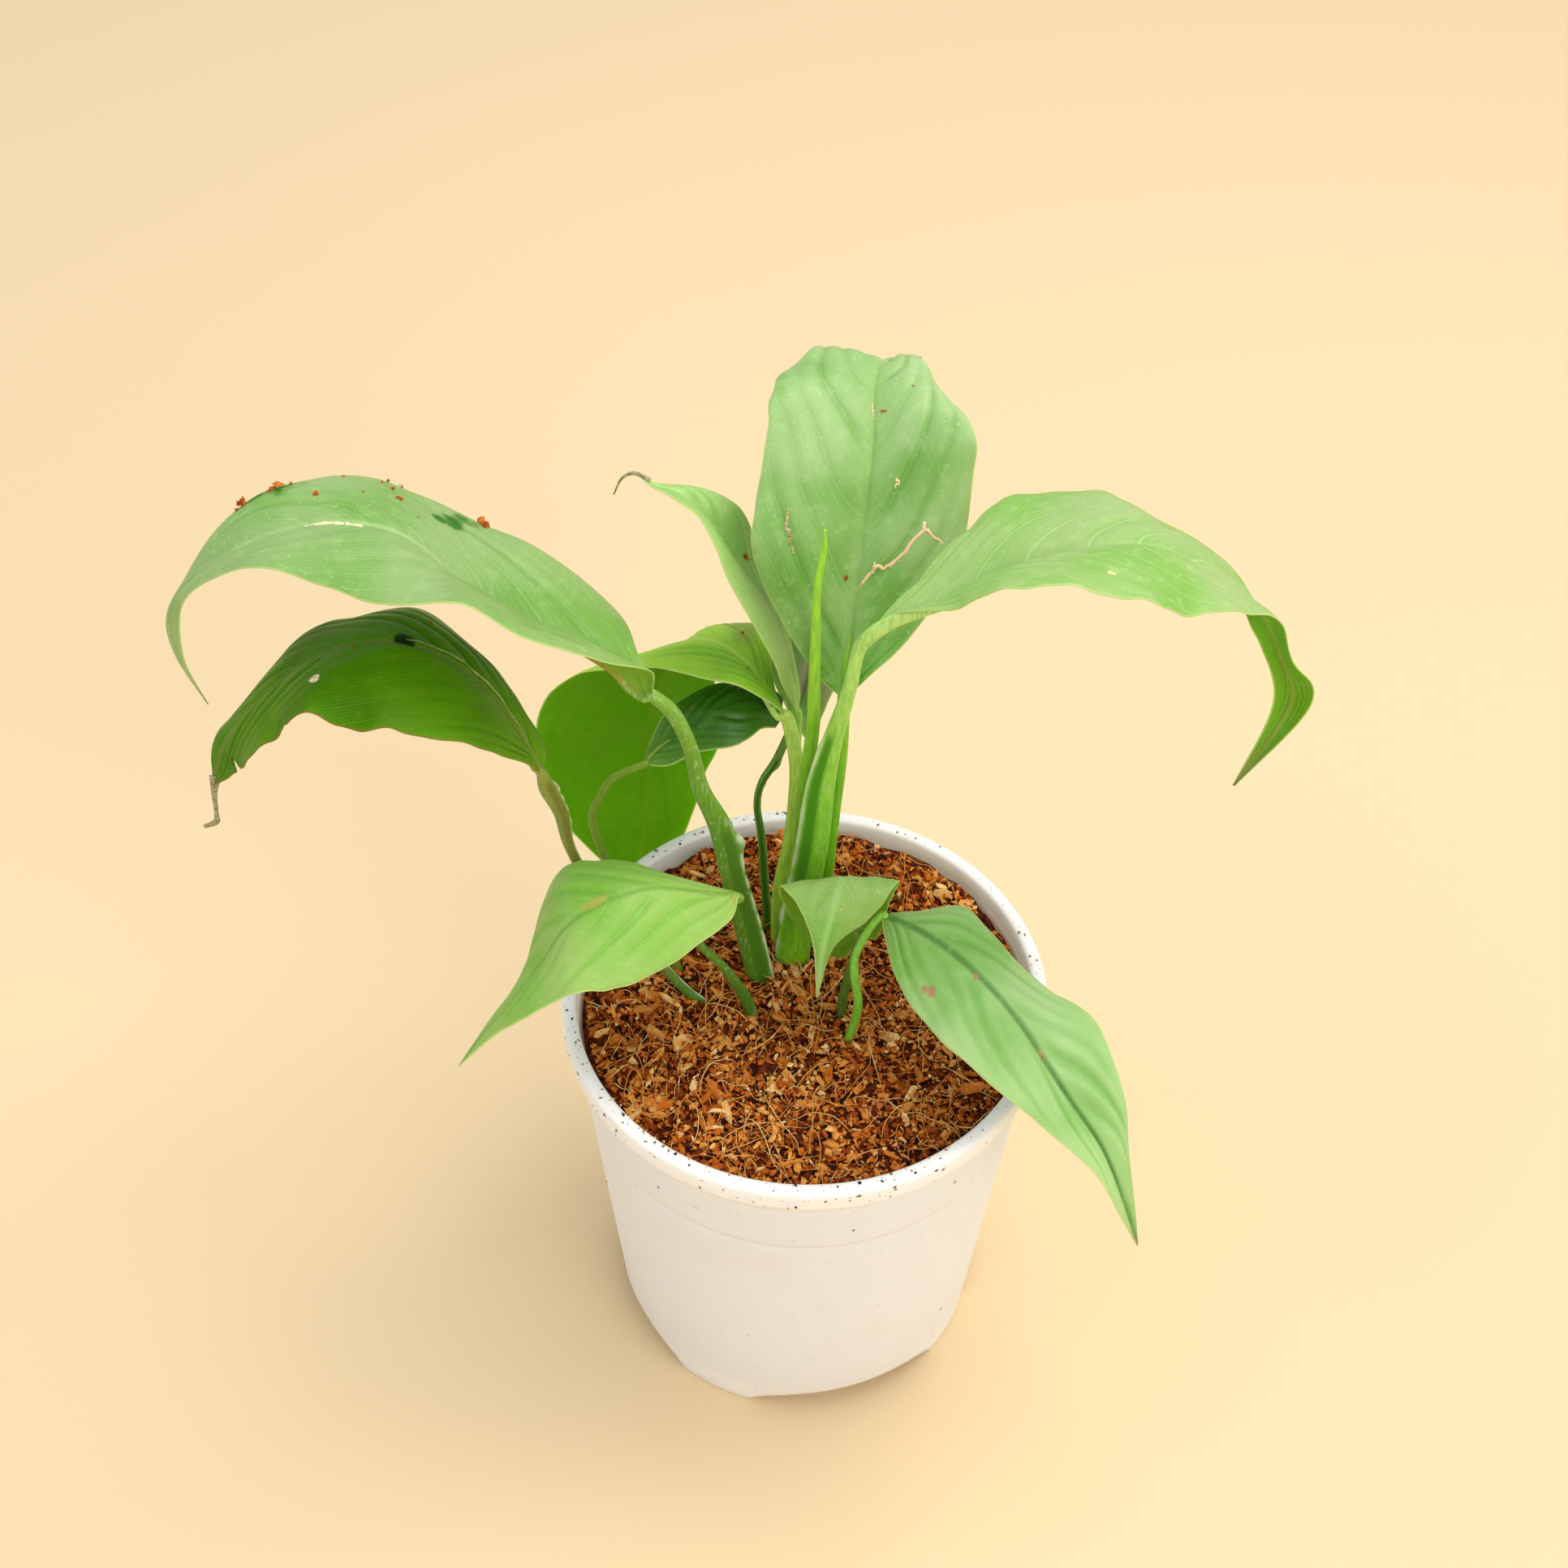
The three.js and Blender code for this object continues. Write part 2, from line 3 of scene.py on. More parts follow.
import bpy
import numpy as np
from mathutils import Matrix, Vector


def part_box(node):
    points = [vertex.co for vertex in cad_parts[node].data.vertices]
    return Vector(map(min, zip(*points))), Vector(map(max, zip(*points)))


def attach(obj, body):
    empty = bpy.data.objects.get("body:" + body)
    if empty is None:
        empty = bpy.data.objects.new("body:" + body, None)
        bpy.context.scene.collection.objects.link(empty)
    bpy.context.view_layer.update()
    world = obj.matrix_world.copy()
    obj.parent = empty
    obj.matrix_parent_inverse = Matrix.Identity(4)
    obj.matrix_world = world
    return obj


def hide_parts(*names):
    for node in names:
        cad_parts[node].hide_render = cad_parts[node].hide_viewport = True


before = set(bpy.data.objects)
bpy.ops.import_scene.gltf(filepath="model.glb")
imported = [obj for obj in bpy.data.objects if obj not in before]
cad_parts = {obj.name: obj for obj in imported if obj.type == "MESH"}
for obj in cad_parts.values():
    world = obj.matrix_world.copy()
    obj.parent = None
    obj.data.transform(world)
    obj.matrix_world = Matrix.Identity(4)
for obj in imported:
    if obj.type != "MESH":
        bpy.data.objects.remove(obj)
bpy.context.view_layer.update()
mm = 0.001
circle = 2 * math.pi
print("frame loaded:", len(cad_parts), "nodes")


# sRGB hex text to linear red, green, blue, alpha.
def linearColour(hexText):
    srgb = np.array([int(hexText[i:i + 2], 16) / 255 for i in (1, 3, 5)])
    linear = np.where(srgb <= 0.04045, srgb / 12.92, ((srgb + 0.055) / 1.055) ** 2.4)
    return (*linear.tolist(), 1.0)


# Adds a node: inputs maps a socket to a value or to the output that feeds it.
def addNode(tree, kind, inputs=None, **settings):
    node = tree.nodes.new(kind)
    for key, value in settings.items():
        setattr(node, key, value)
    for socket, value in (inputs or {}).items():
        if isinstance(value, bpy.types.NodeSocket):
            tree.links.new(value, node.inputs[socket])
        else:
            node.inputs[socket].default_value = value
    return node


# An empty material with its surface shader; plain socket values are given by name.
def startMaterial(name, **sockets):
    material = bpy.data.materials.new(name)
    material.use_nodes = True
    tree = material.node_tree
    tree.nodes.clear()
    shader = addNode(tree, "ShaderNodeBsdfPrincipled")
    for socket, value in sockets.items():
        shader.inputs[socket.replace("_", " ")].default_value = value
    addNode(tree, "ShaderNodeOutputMaterial", {0: shader.outputs[0]})
    return material, tree, shader


# Colour laid over colour. Each row is [mask, low, high, share at low, share at high, tint], and the tint's
# share follows the mask smoothly from low to high.
def layColours(tree, colour, layers):
    for mask, low, high, first, last, tint in layers:
        share = addNode(tree, "ShaderNodeMapRange",
                        {"Value": mask, "From Min": low, "From Max": high, "To Min": first, "To Max": last},
                        interpolation_type="SMOOTHSTEP")
        blend = addNode(tree, "ShaderNodeMix", {0: share.outputs[0], 6: colour, 7: linearColour(tint)},
                        data_type="RGBA")
        colour = blend.outputs[2]
    return colour


# Gives a surface what varies over it: its colour, a roughness [mask, at 0, at 1] that follows the mask, and
# a relief [height, strength, depth in mm].
def finishSurface(tree, shader, colour, roughness=None, relief=None):
    tree.links.new(colour, shader.inputs["Base Color"])
    if roughness:
        mask, low, high = roughness
        dull = addNode(tree, "ShaderNodeMapRange", {"Value": mask, "To Min": low, "To Max": high})
        tree.links.new(dull.outputs[0], shader.inputs["Roughness"])
    if relief:
        height, strength, depth = relief
        bump = addNode(tree, "ShaderNodeBump",
                       {"Height": height, "Strength": strength, "Distance": depth * mm})
        tree.links.new(bump.outputs[0], shader.inputs["Normal"])


# The noise scale that draws spots of about this many mm.
def spots(size):
    return 1 / (size * mm)


# A smooth curve through rows of numbers: uniform Catmull-Rom, its end rows reflected outwards.
def curveThrough(rows, places):
    rows = np.asarray(rows, float)
    padded = np.concatenate([2 * rows[:1] - rows[1:2], rows, 2 * rows[-1:] - rows[-2:-1]])
    place = np.clip(places, 0, 1) * (len(rows) - 1)
    first = np.minimum(place.astype(int), len(rows) - 2)
    t = (place - first).reshape((-1,) + (1,) * (rows.ndim - 1))
    a, b, c, d = (padded[first + k] for k in range(4))
    return 0.5 * (2 * b + (c - a) * t + (2 * a - 5 * b + 4 * c - d) * t**2 + (3 * b - a - 3 * c + d) * t**3)


# A smooth random field: a sum of sine waves of about one wavelength in random directions.
def ripple(x, y, wavelength, seed, layers=7):
    draw = np.random.default_rng(seed)
    total = np.zeros(np.broadcast(x, y).shape)
    for _ in range(layers):
        heading, start = draw.uniform(0, circle, 2)
        turns = circle / (wavelength * draw.uniform(0.7, 1.5))
        total = total + np.sin(turns * (x * math.cos(heading) + y * math.sin(heading)) + start)
    return total / math.sqrt(layers)


# Vectors of length one.
def unit(vectors):
    return vectors / np.maximum(np.linalg.norm(vectors, axis=-1, keepdims=True), 1e-12)


# Corner numbers of the squares of a grid; a closed grid joins its last column to its first.
def gridFaces(rows, columns, closed=False):
    steps = columns if closed else columns - 1
    i, j = np.meshgrid(np.arange(rows - 1), np.arange(steps), indexing="ij")
    right = (j + 1) % columns
    corners = [i * columns + j, i * columns + right, (i + 1) * columns + right, (i + 1) * columns + j]
    return np.stack(corners, -1).reshape(-1, 4)


# The faces of one small shape, repeated for each of its copies.
def repeatFaces(groups, corners, count):
    offset = (np.arange(count) * corners)[:, None, None]
    return [(group[None] + offset).reshape(-1, group.shape[1]) for group in groups]


# Puts points and faces into a mesh object that rides on the pot's body.
def makePiece(name, points, faces, materials, faceMaterials=None, fields=None, smooth=True):
    mesh = bpy.data.meshes.new(name)
    faceLists = [face for group in faces for face in np.asarray(group).tolist()]
    mesh.from_pydata(np.asarray(points, float).tolist(), [], faceLists)
    for material in materials:
        mesh.materials.append(material)
    if faceMaterials is not None:
        mesh.polygons.foreach_set("material_index", np.asarray(faceMaterials, np.int32))
    mesh.polygons.foreach_set("use_smooth", np.full(len(faceLists), smooth))
    for key, values in (fields or {}).items():
        layer = mesh.attributes.new(key, "FLOAT", "POINT")
        layer.data.foreach_set("value", np.asarray(values, np.float32).ravel())
    mesh.update()
    piece = bpy.data.objects.new(name, mesh)
    bpy.context.scene.collection.objects.link(piece)
    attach(piece, "root")
    return piece


# Sets up a camera or a lamp at a place, from its three axes; it looks away from the back one.
def setUp(name, data, right, up, back, place):
    holder = bpy.data.objects.new(name, data)
    turned = np.eye(4)
    turned[:3] = np.stack([right, up, back, place], 1)
    holder.matrix_world = Matrix(turned.tolist())
    bpy.context.scene.collection.objects.link(holder)
    return holder


view = {
    "elevation": 47.42,  # degrees above the horizon
    "roll": 1.23,
    "distance": 519.8 * mm,
    "sideways": -4.5 * mm,
    "upwards": 43.8 * mm,
    "lens": 55.9,
}


# The camera looks at the middle of the pot's lip along a line that drops by the elevation, then slides
# within its own picture plane.
def makeCamera():
    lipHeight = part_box("nursery_pot")[1].z
    drop, roll = math.radians(view["elevation"]), math.radians(view["roll"])
    ahead = np.array([0, math.cos(drop), -math.sin(drop)])
    level = np.array([1.0, 0, 0])
    raised = np.cross(level, ahead)
    right = math.cos(roll) * level + math.sin(roll) * raised
    up = math.cos(roll) * raised - math.sin(roll) * level
    place = np.array([0, 0, lipHeight]) - ahead * view["distance"]
    place = place + right * view["sideways"] + up * view["upwards"]
    camera = bpy.data.cameras.new("camera")
    camera.lens = view["lens"]
    camera.clip_start = 0.01
    bpy.context.scene.camera = setUp("camera", camera, right, up, -ahead, place)


lamps = {
    "overhead": {"place": (0.3, 0.2, 1.25), "size": 0.75, "power": 9.5, "tint": "#FFFAF4"},
    "front": {"place": (0.75, -1.0, 0.9), "size": 0.9, "power": 8.0, "tint": "#FFF8F0"},
    "left": {"place": (-1.0, -0.3, 0.8), "size": 0.8, "power": 2.6, "tint": "#F4F7FF"},
}
room = {
    "aim": (0, 0, 0.11),  # where the lamps point, in the middle of the plant
    "floor": "#E6CEA2",
    "floorHalf": 9.0,
    "sky": "#F3F6FF",
    "skyStrength": 0.7,
}


# Soft square lamps aimed at the plant, an even sky and a plain floor.
def makeStudio():
    for name, lamp in lamps.items():
        light = bpy.data.lights.new(name, "AREA")
        light.size = lamp["size"]
        light.energy = lamp["power"]
        light.color = linearColour(lamp["tint"])[:3]
        back = unit(np.array(lamp["place"]) - np.array(room["aim"]))
        right = unit(np.cross([0, 0, 1], back))
        setUp(name, light, right, np.cross(back, right), back, lamp["place"])
    sky = bpy.data.worlds.new("studio")
    sky.use_nodes = True
    sky.node_tree.nodes.clear()
    glow = addNode(sky.node_tree, "ShaderNodeBackground",
                   {0: linearColour(room["sky"]), 1: room["skyStrength"]})
    addNode(sky.node_tree, "ShaderNodeOutputWorld", {0: glow.outputs[0]})
    bpy.context.scene.world = sky
    paint, _, shader = startMaterial("painted floor", Roughness=0.85, Specular_IOR_Level=0.2)
    shader.inputs["Base Color"].default_value = linearColour(room["floor"])
    half = room["floorHalf"]
    mesh = bpy.data.meshes.new("floor")
    corners = [(-half, -half, 0), (half, -half, 0), (half, half, 0), (-half, half, 0)]
    mesh.from_pydata(corners, [], [(0, 1, 2, 3)])
    mesh.materials.append(paint)
    floor = bpy.data.objects.new("floor", mesh)
    bpy.context.scene.collection.objects.link(floor)


makeCamera()
makeStudio()
bpy.context.scene.view_settings.view_transform = "Standard"
print("camera, lamps and floor made")


# In mm, apart from the angles, counts and colours.
pot = {
    "lipRadius": 52.0,
    "lipInner": 48.8,
    "skirt": 5.5,
    "neckRadius": 50.0,
    "baseRadius": 41.7,
    "wall": 1.5,
    "floor": 1.6,
    "foot": 6.5,
    "footWidth": 2.4,
    "hubRadius": 18.0,
    "hubSlope": 2.0,
    "shoulder": 79.0,
    "step": 0.3,
    "groove": 0.4,
    "arches": 4,
    "archRise": 6.2,
    "archHalf": 32.5,  # half of an arch's width, in degrees
    "archFirst": -72.0,
    "drains": 6,
    "drainRadius": 3.5,
    "drainPitch": 28.0,
    "drainSides": 40,
    "around": 256,
    "longestStep": 4.0,
    "plastic": "#FBF8F2",
    "lipTint": "#F8F5EE",
    # The stain tint also serves as painted shade under the lip's skirt and along the shoulder groove.
    "stainAndShade": "#DDB982",
    "speck": "#8A6234",
}
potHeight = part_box("nursery_pot")[1].z / mm
potNeck = potHeight - pot["skirt"]


# Outer radius of the pot's wall at a height, all in mm: a straight taper with a small step at the shoulder.
def wallRadius(height):
    taper = (pot["neckRadius"] - pot["baseRadius"]) / potNeck
    step = pot["step"] * np.clip(np.asarray(height) - pot["shoulder"], 0, 1)
    return pot["baseRadius"] - pot["step"] + taper * np.asarray(height) + step


# Inner radius of the wall at a height, less a gap.
def insideWall(height, gap=0):
    return float(wallRadius(height)) - pot["wall"] - gap


# Rounds the corners of an open line of [radius, height, rounding]: each corner becomes a quadratic curve
# between the points at the rounding's distance on its two sides.
def roundedLine(corners, steps=5):
    line = [corners[0][:2]]
    for before, here, after in zip(corners, corners[1:-1], corners[2:]):
        p, q, r = (np.array(corner[:2], float) for corner in (before, here, after))
        back, onwards = np.linalg.norm(p - q), np.linalg.norm(r - q)
        reach = min(here[2], 0.45 * back, 0.45 * onwards)
        start, end = q + (p - q) * reach / back, q + (r - q) * reach / onwards
        for t in np.linspace(0, 1, steps):
            line.append((1 - t) ** 2 * start + 2 * t * (1 - t) * q + t**2 * end)
    line.append(corners[-1][:2])
    return np.array([np.asarray(point, float) for point in line])


# Splits long stretches of a line so that no step is longer than the limit.
def splitLine(line, limit):
    parts = [line[:1]]
    for start, end in zip(line, line[1:]):
        count = max(1, int(math.ceil(np.linalg.norm(end - start) / limit)))
        parts.append(start + (end - start) * (np.arange(1, count + 1) / count)[:, None])
    return np.concatenate(parts)


# A line of [radius, height] from pole to pole turned about the upright axis: rings between two pole points.
def turnedSurface(line, around):
    angle = np.arange(around) * circle / around
    radius, height = line[1:-1, 0, None], line[1:-1, 1, None]
    rings = np.stack([radius * np.cos(angle), radius * np.sin(angle), height + 0 * angle], -1)
    poles = np.array([[0, 0, line[0, 1]], [0, 0, line[-1, 1]]])
    count = len(rings) * around
    ring = np.arange(around)
    following = (ring + 1) % around
    first = np.stack([np.full(around, count), following, ring], -1)
    last = count - around + np.stack([ring, following, np.full(around, around + 1)], -1)
    return rings, poles, [gridFaces(len(rings), around, closed=True), first, last]


# Injection-moulded polypropylene, the cream white of nursery pots: a soft satin sheen with a faint orange
# peel about 1 mm across, light coming through its thin wall, a whiter lip, a thin yellow stain low on the
# wall and a few brown specks. The same yellow also paints shade: a band under the lip's skirt and a line
# along the shoulder groove.
def potPlastic():
    material, tree, shader = startMaterial("injection-moulded polypropylene", IOR=1.49,
                                           Subsurface_Weight=0.6, Subsurface_Scale=1.0)
    shader.inputs["Subsurface Radius"].default_value = (0.006, 0.005, 0.004)
    place = addNode(tree, "ShaderNodeTexCoord").outputs["Object"]
    height = addNode(tree, "ShaderNodeSeparateXYZ", {0: place}).outputs["Z"]
    shoulder = (pot["shoulder"] + 0.4) * mm
    offset = addNode(tree, "ShaderNodeMath", {0: height, 1: shoulder}, operation="SUBTRACT")
    shoulderGap = addNode(tree, "ShaderNodeMath", {0: offset.outputs[0]}, operation="ABSOLUTE").outputs[0]
    cloud = addNode(tree, "ShaderNodeTexNoise", {"Vector": place, "Scale": spots(36), "Detail": 3}).outputs[0]
    flat = addNode(tree, "ShaderNodeMapping",
                   {"Vector": place, "Scale": (spots(3.8), spots(3.8), spots(1.1))}).outputs[0]
    specks = addNode(tree, "ShaderNodeTexNoise", {"Vector": flat, "Scale": 1, "Detail": 2}).outputs[0]
    peel = addNode(tree, "ShaderNodeTexNoise", {"Vector": place, "Scale": spots(1.1), "Detail": 1}).outputs[0]
    neck = potNeck * mm
    colour = layColours(tree, linearColour(pot["plastic"]), [
        (cloud, 0.55, 0.8, 0.0, 0.16, pot["stainAndShade"]),
        (height, 0.0, 40 * mm, 0.1, 0.0, pot["stainAndShade"]),
        # Painted shade: a yellowish line along the shoulder groove and a band just under the lip's skirt.
        (shoulderGap, 0.1 * mm, 1.1 * mm, 0.3, 0.0, pot["stainAndShade"]),
        (height, neck - 5 * mm, neck - 2 * mm, 0.0, 0.34, pot["stainAndShade"]),
        (height, neck - 0.6 * mm, neck + 0.2 * mm, 0.0, 1.0, pot["lipTint"]),
        (specks, 0.73, 0.78, 0.0, 0.45, pot["speck"]),
    ])
    finishSurface(tree, shader, colour, [cloud, 0.36, 0.5], [peel, 0.12, 0.1])
    return material


# The arches' height at an azimuth: a rounded hump, (1 - s^2.2)^0.6 of its rise, from one foot to the next.
def archHeight(azimuth):
    spacing = 360 / pot["arches"]
    away = (np.degrees(azimuth) - pot["archFirst"] + spacing / 2) % spacing - spacing / 2
    share = np.clip(np.abs(away) / pot["archHalf"], 0, 1)
    return pot["archRise"] * (1 - share**2.2) ** 0.6


# The pot is one line turned about its axis: floor, inner wall, rolled lip, skirt, outer wall, foot, hub.
# Near the ground the outer line is squeezed upwards by the arch height at each azimuth.
def makePot():
    shoulder, channel = pot["shoulder"], pot["foot"] + pot["floor"]
    hubWall = pot["hubRadius"] - pot["wall"]
    base, foot = float(wallRadius(0)), pot["footWidth"]
    corners = [
        (0, pot["floor"], 0),
        (hubWall, pot["floor"], 1),
        (hubWall + pot["hubSlope"], channel, 1),
        (insideWall(channel), channel, 1.5),
        (insideWall(shoulder), shoulder, 0.4),
        (insideWall(shoulder + 1), shoulder + 1, 0.4),
        (insideWall(potNeck), potNeck, 0.5),
        (pot["lipInner"], potNeck + 1, 0.5),
        (pot["lipInner"], potHeight, 1.0),
        (pot["lipRadius"], potHeight, 1.2),
        (pot["lipRadius"] - 0.1, potNeck, 0.7),
        (float(wallRadius(potNeck)), potNeck, 0.5),
        (float(wallRadius(shoulder + 1)), shoulder + 1.5, 0.5),
        (float(wallRadius(shoulder)) - pot["groove"], shoulder + 0.5, 0.3),
        (float(wallRadius(shoulder)), shoulder - 0.3, 0.5),
        (base, 0, 0.7),
        (base - foot, 0, 0.5),
        (base - foot - 0.6, pot["foot"], 0.8),
        (pot["hubRadius"] + pot["hubSlope"], pot["foot"], 0.8),
        (pot["hubRadius"], 0, 0.6),
        (0, 0, 0),
    ]
    line = splitLine(roundedLine(corners), pot["longestStep"])[::-1]
    rings, poles, faces = turnedSurface(line, pot["around"])
    radius, height = line[1:-1, 0, None], line[1:-1, 1, None]
    wallLift = 1 - height / (pot["foot"] + 1.5)
    footLift = np.where(radius > base - foot - 1.2, 1 - height / pot["foot"], 0)
    lift = np.clip(np.where(radius > base - 1, wallLift, footLift), 0, 1)
    azimuth = np.arctan2(rings[..., 1], rings[..., 0])
    rings[..., 2] += archHeight(azimuth) * lift
    points = np.concatenate([rings.reshape(-1, 3), poles]) * mm
    piece = makePiece("pot_shell", points, faces, [potPlastic()])
    drillHoles(piece)
    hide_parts("nursery_pot")


# Cuts the ring of drain holes through the raised channel with plain cylinders.
def drillHoles(piece):
    drills = []
    pitch, middle = pot["drainPitch"] * mm, (pot["foot"] + pot["floor"] / 2) * mm
    for k in range(pot["drains"]):
        azimuth = circle * k / pot["drains"]
        bpy.ops.mesh.primitive_cylinder_add(
            vertices=pot["drainSides"], radius=pot["drainRadius"] * mm, depth=5 * pot["floor"] * mm,
            location=(pitch * math.cos(azimuth), pitch * math.sin(azimuth), middle))
        drill = bpy.context.object
        cut = piece.modifiers.new("drain", "BOOLEAN")
        cut.object = drill
        cut.solver = "EXACT"
        drills.append(drill)
    shape = piece.evaluated_get(bpy.context.evaluated_depsgraph_get())
    drilled = bpy.data.meshes.new_from_object(shape)
    piece.modifiers.clear()
    piece.data = drilled
    for drill in drills:
        bpy.data.objects.remove(drill)


makePot()
print("pot made")


# In mm, apart from the counts, slopes and tones. A tone runs from 0, the first coir tint, to 1, the last.
mix = {
    "edge": 97.4,
    "crown": 99.2,
    "radius": 48,
    "sideTop": 96,  # where the straight side ends and the uneven top begins
    "fall": 0.012,  # slope of the whole top towards the back
    "bank": 0.095,  # slope of the back half, upwards
    "lumps": 1.1,
    "around": 240,
    "gap": 0.4,  # to the pot, all round
    # The first coir tint is near-black, painted shade for the hollows between the crumbs.
    "coir": ["#2E0C02", "#8E3C08", "#C26414", "#E09A44", "#F2CE88"],  # from the dark hollows to pale straw
    "dust": ["#2C2420", "#54463A", "#8A6E50", "#B89468", "#E0CCA4"],
    "seed": 11,
    # Sizes are least + span * u^power, with u between the two draws; each side is a share of the size.
    # liftShade darkens the lower-lying pieces, painted shade down among the crumbs.
    "crumbs": {
        "count": 15000, "edgeGap": 1.4, "least": 0, "span": 1, "draws": (0.3, 0.85), "power": 1.3,
        "lift": (-0.9, 1.3), "thinnest": (0.7, 0.7, 0.4), "thickest": (1.9, 1.1, 0.8),
        "lean": 0.7, "rough": 0.22, "tone": 0.35, "toneSpread": 0.2, "liftShade": 0.2,
        "patch": 16, "patchSeed": 6, "darkest": 0,
    },
    "chips": {
        "count": 1500, "edgeGap": 2.9, "least": 0.4, "span": 1.5, "draws": (0, 1), "power": 3.5,
        "lift": (0.3, 1.0), "thinnest": (0.8, 0.35, 0.16), "thickest": (1.6, 0.7, 0.35),
        "lean": 0.5, "rough": 0.2, "tone": 0.68, "toneSpread": 0.17, "liftShade": 0,
        "patch": 30, "patchSeed": 8, "darkest": 0.2,
    },
    # The middle has dried out: there the crumbs' tone rises by a Gaussian of the distance from the place.
    "dry": {"place": (4, -13), "radius": 27, "rise": 0.12, "elsewhere": -0.08},
    "fibres": {"count": 640, "edgeGap": 1.5, "steps": 11, "shortest": 3, "longer": 17, "bend": 1.1,
               "twist": 2.2, "hop": (0.2, 2.0), "thick": (0.07, 0.15), "tone": 0.8, "toneSpread": 0.15},
}


# Height of the bed in mm: a low mound, banked up towards the back, with lumps of about 11 mm and 4 mm.
def bedHeight(x, y):
    share = np.hypot(x, y) / mix["radius"]
    mound = mix["edge"] + (mix["crown"] - mix["edge"]) * (1 - share**2) - mix["fall"] * y
    bank = mix["bank"] * np.maximum(y, 0)
    return mound + bank + mix["lumps"] * (0.45 * ripple(x, y, 11, 3) + 0.4 * ripple(x, y, 4, 4))


# Moist shredded coir: rust brown fibre, tan husk and straw-pale splinters, all matt, with near-black at the
# lowest tones as painted shade in the hollows. The tone field says how pale each piece is, on the scale of
# the tints, and a fine grain breaks it up.
def coirMaterial(name, grain, tints):
    material, tree, shader = startMaterial(name, Roughness=0.88, IOR=1.4, Specular_IOR_Level=0.3)
    tone = addNode(tree, "ShaderNodeAttribute", attribute_name="tone").outputs["Fac"]
    place = addNode(tree, "ShaderNodeTexCoord").outputs["Object"]
    fleck = addNode(tree, "ShaderNodeTexNoise",
                    {"Vector": place, "Scale": spots(grain), "Detail": 3}).outputs[0]
    spread = addNode(tree, "ShaderNodeMapRange", {"Value": fleck, "To Min": -0.16, "To Max": 0.16})
    level = addNode(tree, "ShaderNodeMath", {0: tone, 1: spread.outputs[0]}, operation="ADD").outputs[0]
    colour = layColours(tree, linearColour(tints[0]), [
        (level, 0.25 * k, 0.25 * k + 0.28, 0.0, 1.0, tint) for k, tint in enumerate(tints[1:])])
    finishSurface(tree, shader, colour, relief=[fleck, 0.5, 0.4])
    return material


# The bed fills the pot: its top is the bed height over a disc, and its side and underside follow the pot's
# inside with a hair of clearance.
def makeBed(material):
    gap, top = mix["gap"], mix["sideTop"]
    channel = pot["foot"] + pot["floor"] + gap
    hubWall = pot["hubRadius"] - pot["wall"] - gap
    corners = [
        (0, pot["floor"] + gap),
        (hubWall, pot["floor"] + gap),
        (hubWall + pot["hubSlope"], channel),
        (insideWall(channel, gap), channel),
        (insideWall(pot["shoulder"], gap), pot["shoulder"]),
        (insideWall(top, gap), top),
        (0, top),
    ]
    line = splitLine(np.array(corners, float), 1.1)
    rings, poles, faces = turnedSurface(line, mix["around"])
    onTop = np.isclose(rings[..., 2], top)
    rings[..., 2] = np.where(onTop, bedHeight(rings[..., 0], rings[..., 1]), rings[..., 2])
    poles[1, 2] = bedHeight(0.0, 0.0)
    points = np.concatenate([rings.reshape(-1, 3), poles])
    # A low tone: the bed shows near-black between the loose crumbs, painted shade in the gaps.
    tone = 0.08 + 0.1 * ripple(points[:, 0], points[:, 1], 3, 5)
    piece = makePiece("potting_mix_bed", points * mm, faces, [material], fields={"tone": tone})
    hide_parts("potting_mix")


# Rotation matrices about the upright axis.
def spinTurns(angle):
    zero, one = np.zeros(len(angle)), np.ones(len(angle))
    cos, sin = np.cos(angle), np.sin(angle)
    return np.array([[cos, -sin, zero], [sin, cos, zero], [zero, zero, one]])


# Random rotation matrices, one for each piece: a spin, a lean of the given spread in radians, and a swing of
# the way it leans.
def randomTurns(draw, count, tilt):
    spin, lean = draw.uniform(0, circle, count), draw.normal(0, tilt, count)
    heading = draw.uniform(0, circle, count)
    zero, one, cos, sin = np.zeros(count), np.ones(count), np.cos(lean), np.sin(lean)
    tip = np.array([[one, zero, zero], [zero, cos, -sin], [zero, sin, cos]])
    return np.einsum("ijn,jkn,kln->nil", spinTurns(heading), tip, spinTurns(spin))


# Copies of one small closed shape, each scaled, turned, knocked out of shape and set down, as one mesh.
def scatter(name, shape, places, sizes, turns, rough, tones, material, draw):
    corners, shapeFaces = shape
    count = len(places)
    knocked = corners * (1 + draw.normal(0, rough, (count, len(corners), 1)))
    points = np.einsum("nij,nkj->nki", turns, knocked * sizes[:, None, :]) + places[:, None, :]
    makePiece(name, points.reshape(-1, 3) * mm, repeatFaces(shapeFaces, len(corners), count), [material],
              fields={"tone": np.repeat(tones, len(corners))}, smooth=False)


# A lump with eight faces and six corners, and a slab: an uneven hexagon with some thickness.
lump = (
    np.array([[1, 0, 0], [-1, 0, 0], [0, 1, 0], [0, -1, 0], [0, 0, 1], [0, 0, -1]], float),
    [np.array([[0, 2, 4], [2, 1, 4], [1, 3, 4], [3, 0, 4], [2, 0, 5], [1, 2, 5], [3, 1, 5], [0, 3, 5]])],
)
slabTurn = np.radians([0, 50, 130, 185, 235, 310])
six = np.arange(6)
slab = (
    np.concatenate([np.stack([np.cos(slabTurn), np.sin(slabTurn), np.full(6, level)], 1)
                    for level in (-1.0, 1.0)]),
    [
        np.array([[5, 4, 3, 2, 1, 0], [6, 7, 8, 9, 10, 11]]),
        np.stack([six, (six + 1) % 6, (six + 1) % 6 + 6, six + 6], 1),
    ],
)


# Random places spread evenly over a disc.
def discPlaces(draw, reach, count):
    radius, turn = reach * np.sqrt(draw.uniform(0, 1, count)), draw.uniform(0, circle, count)
    return radius * np.cos(turn), radius * np.sin(turn)
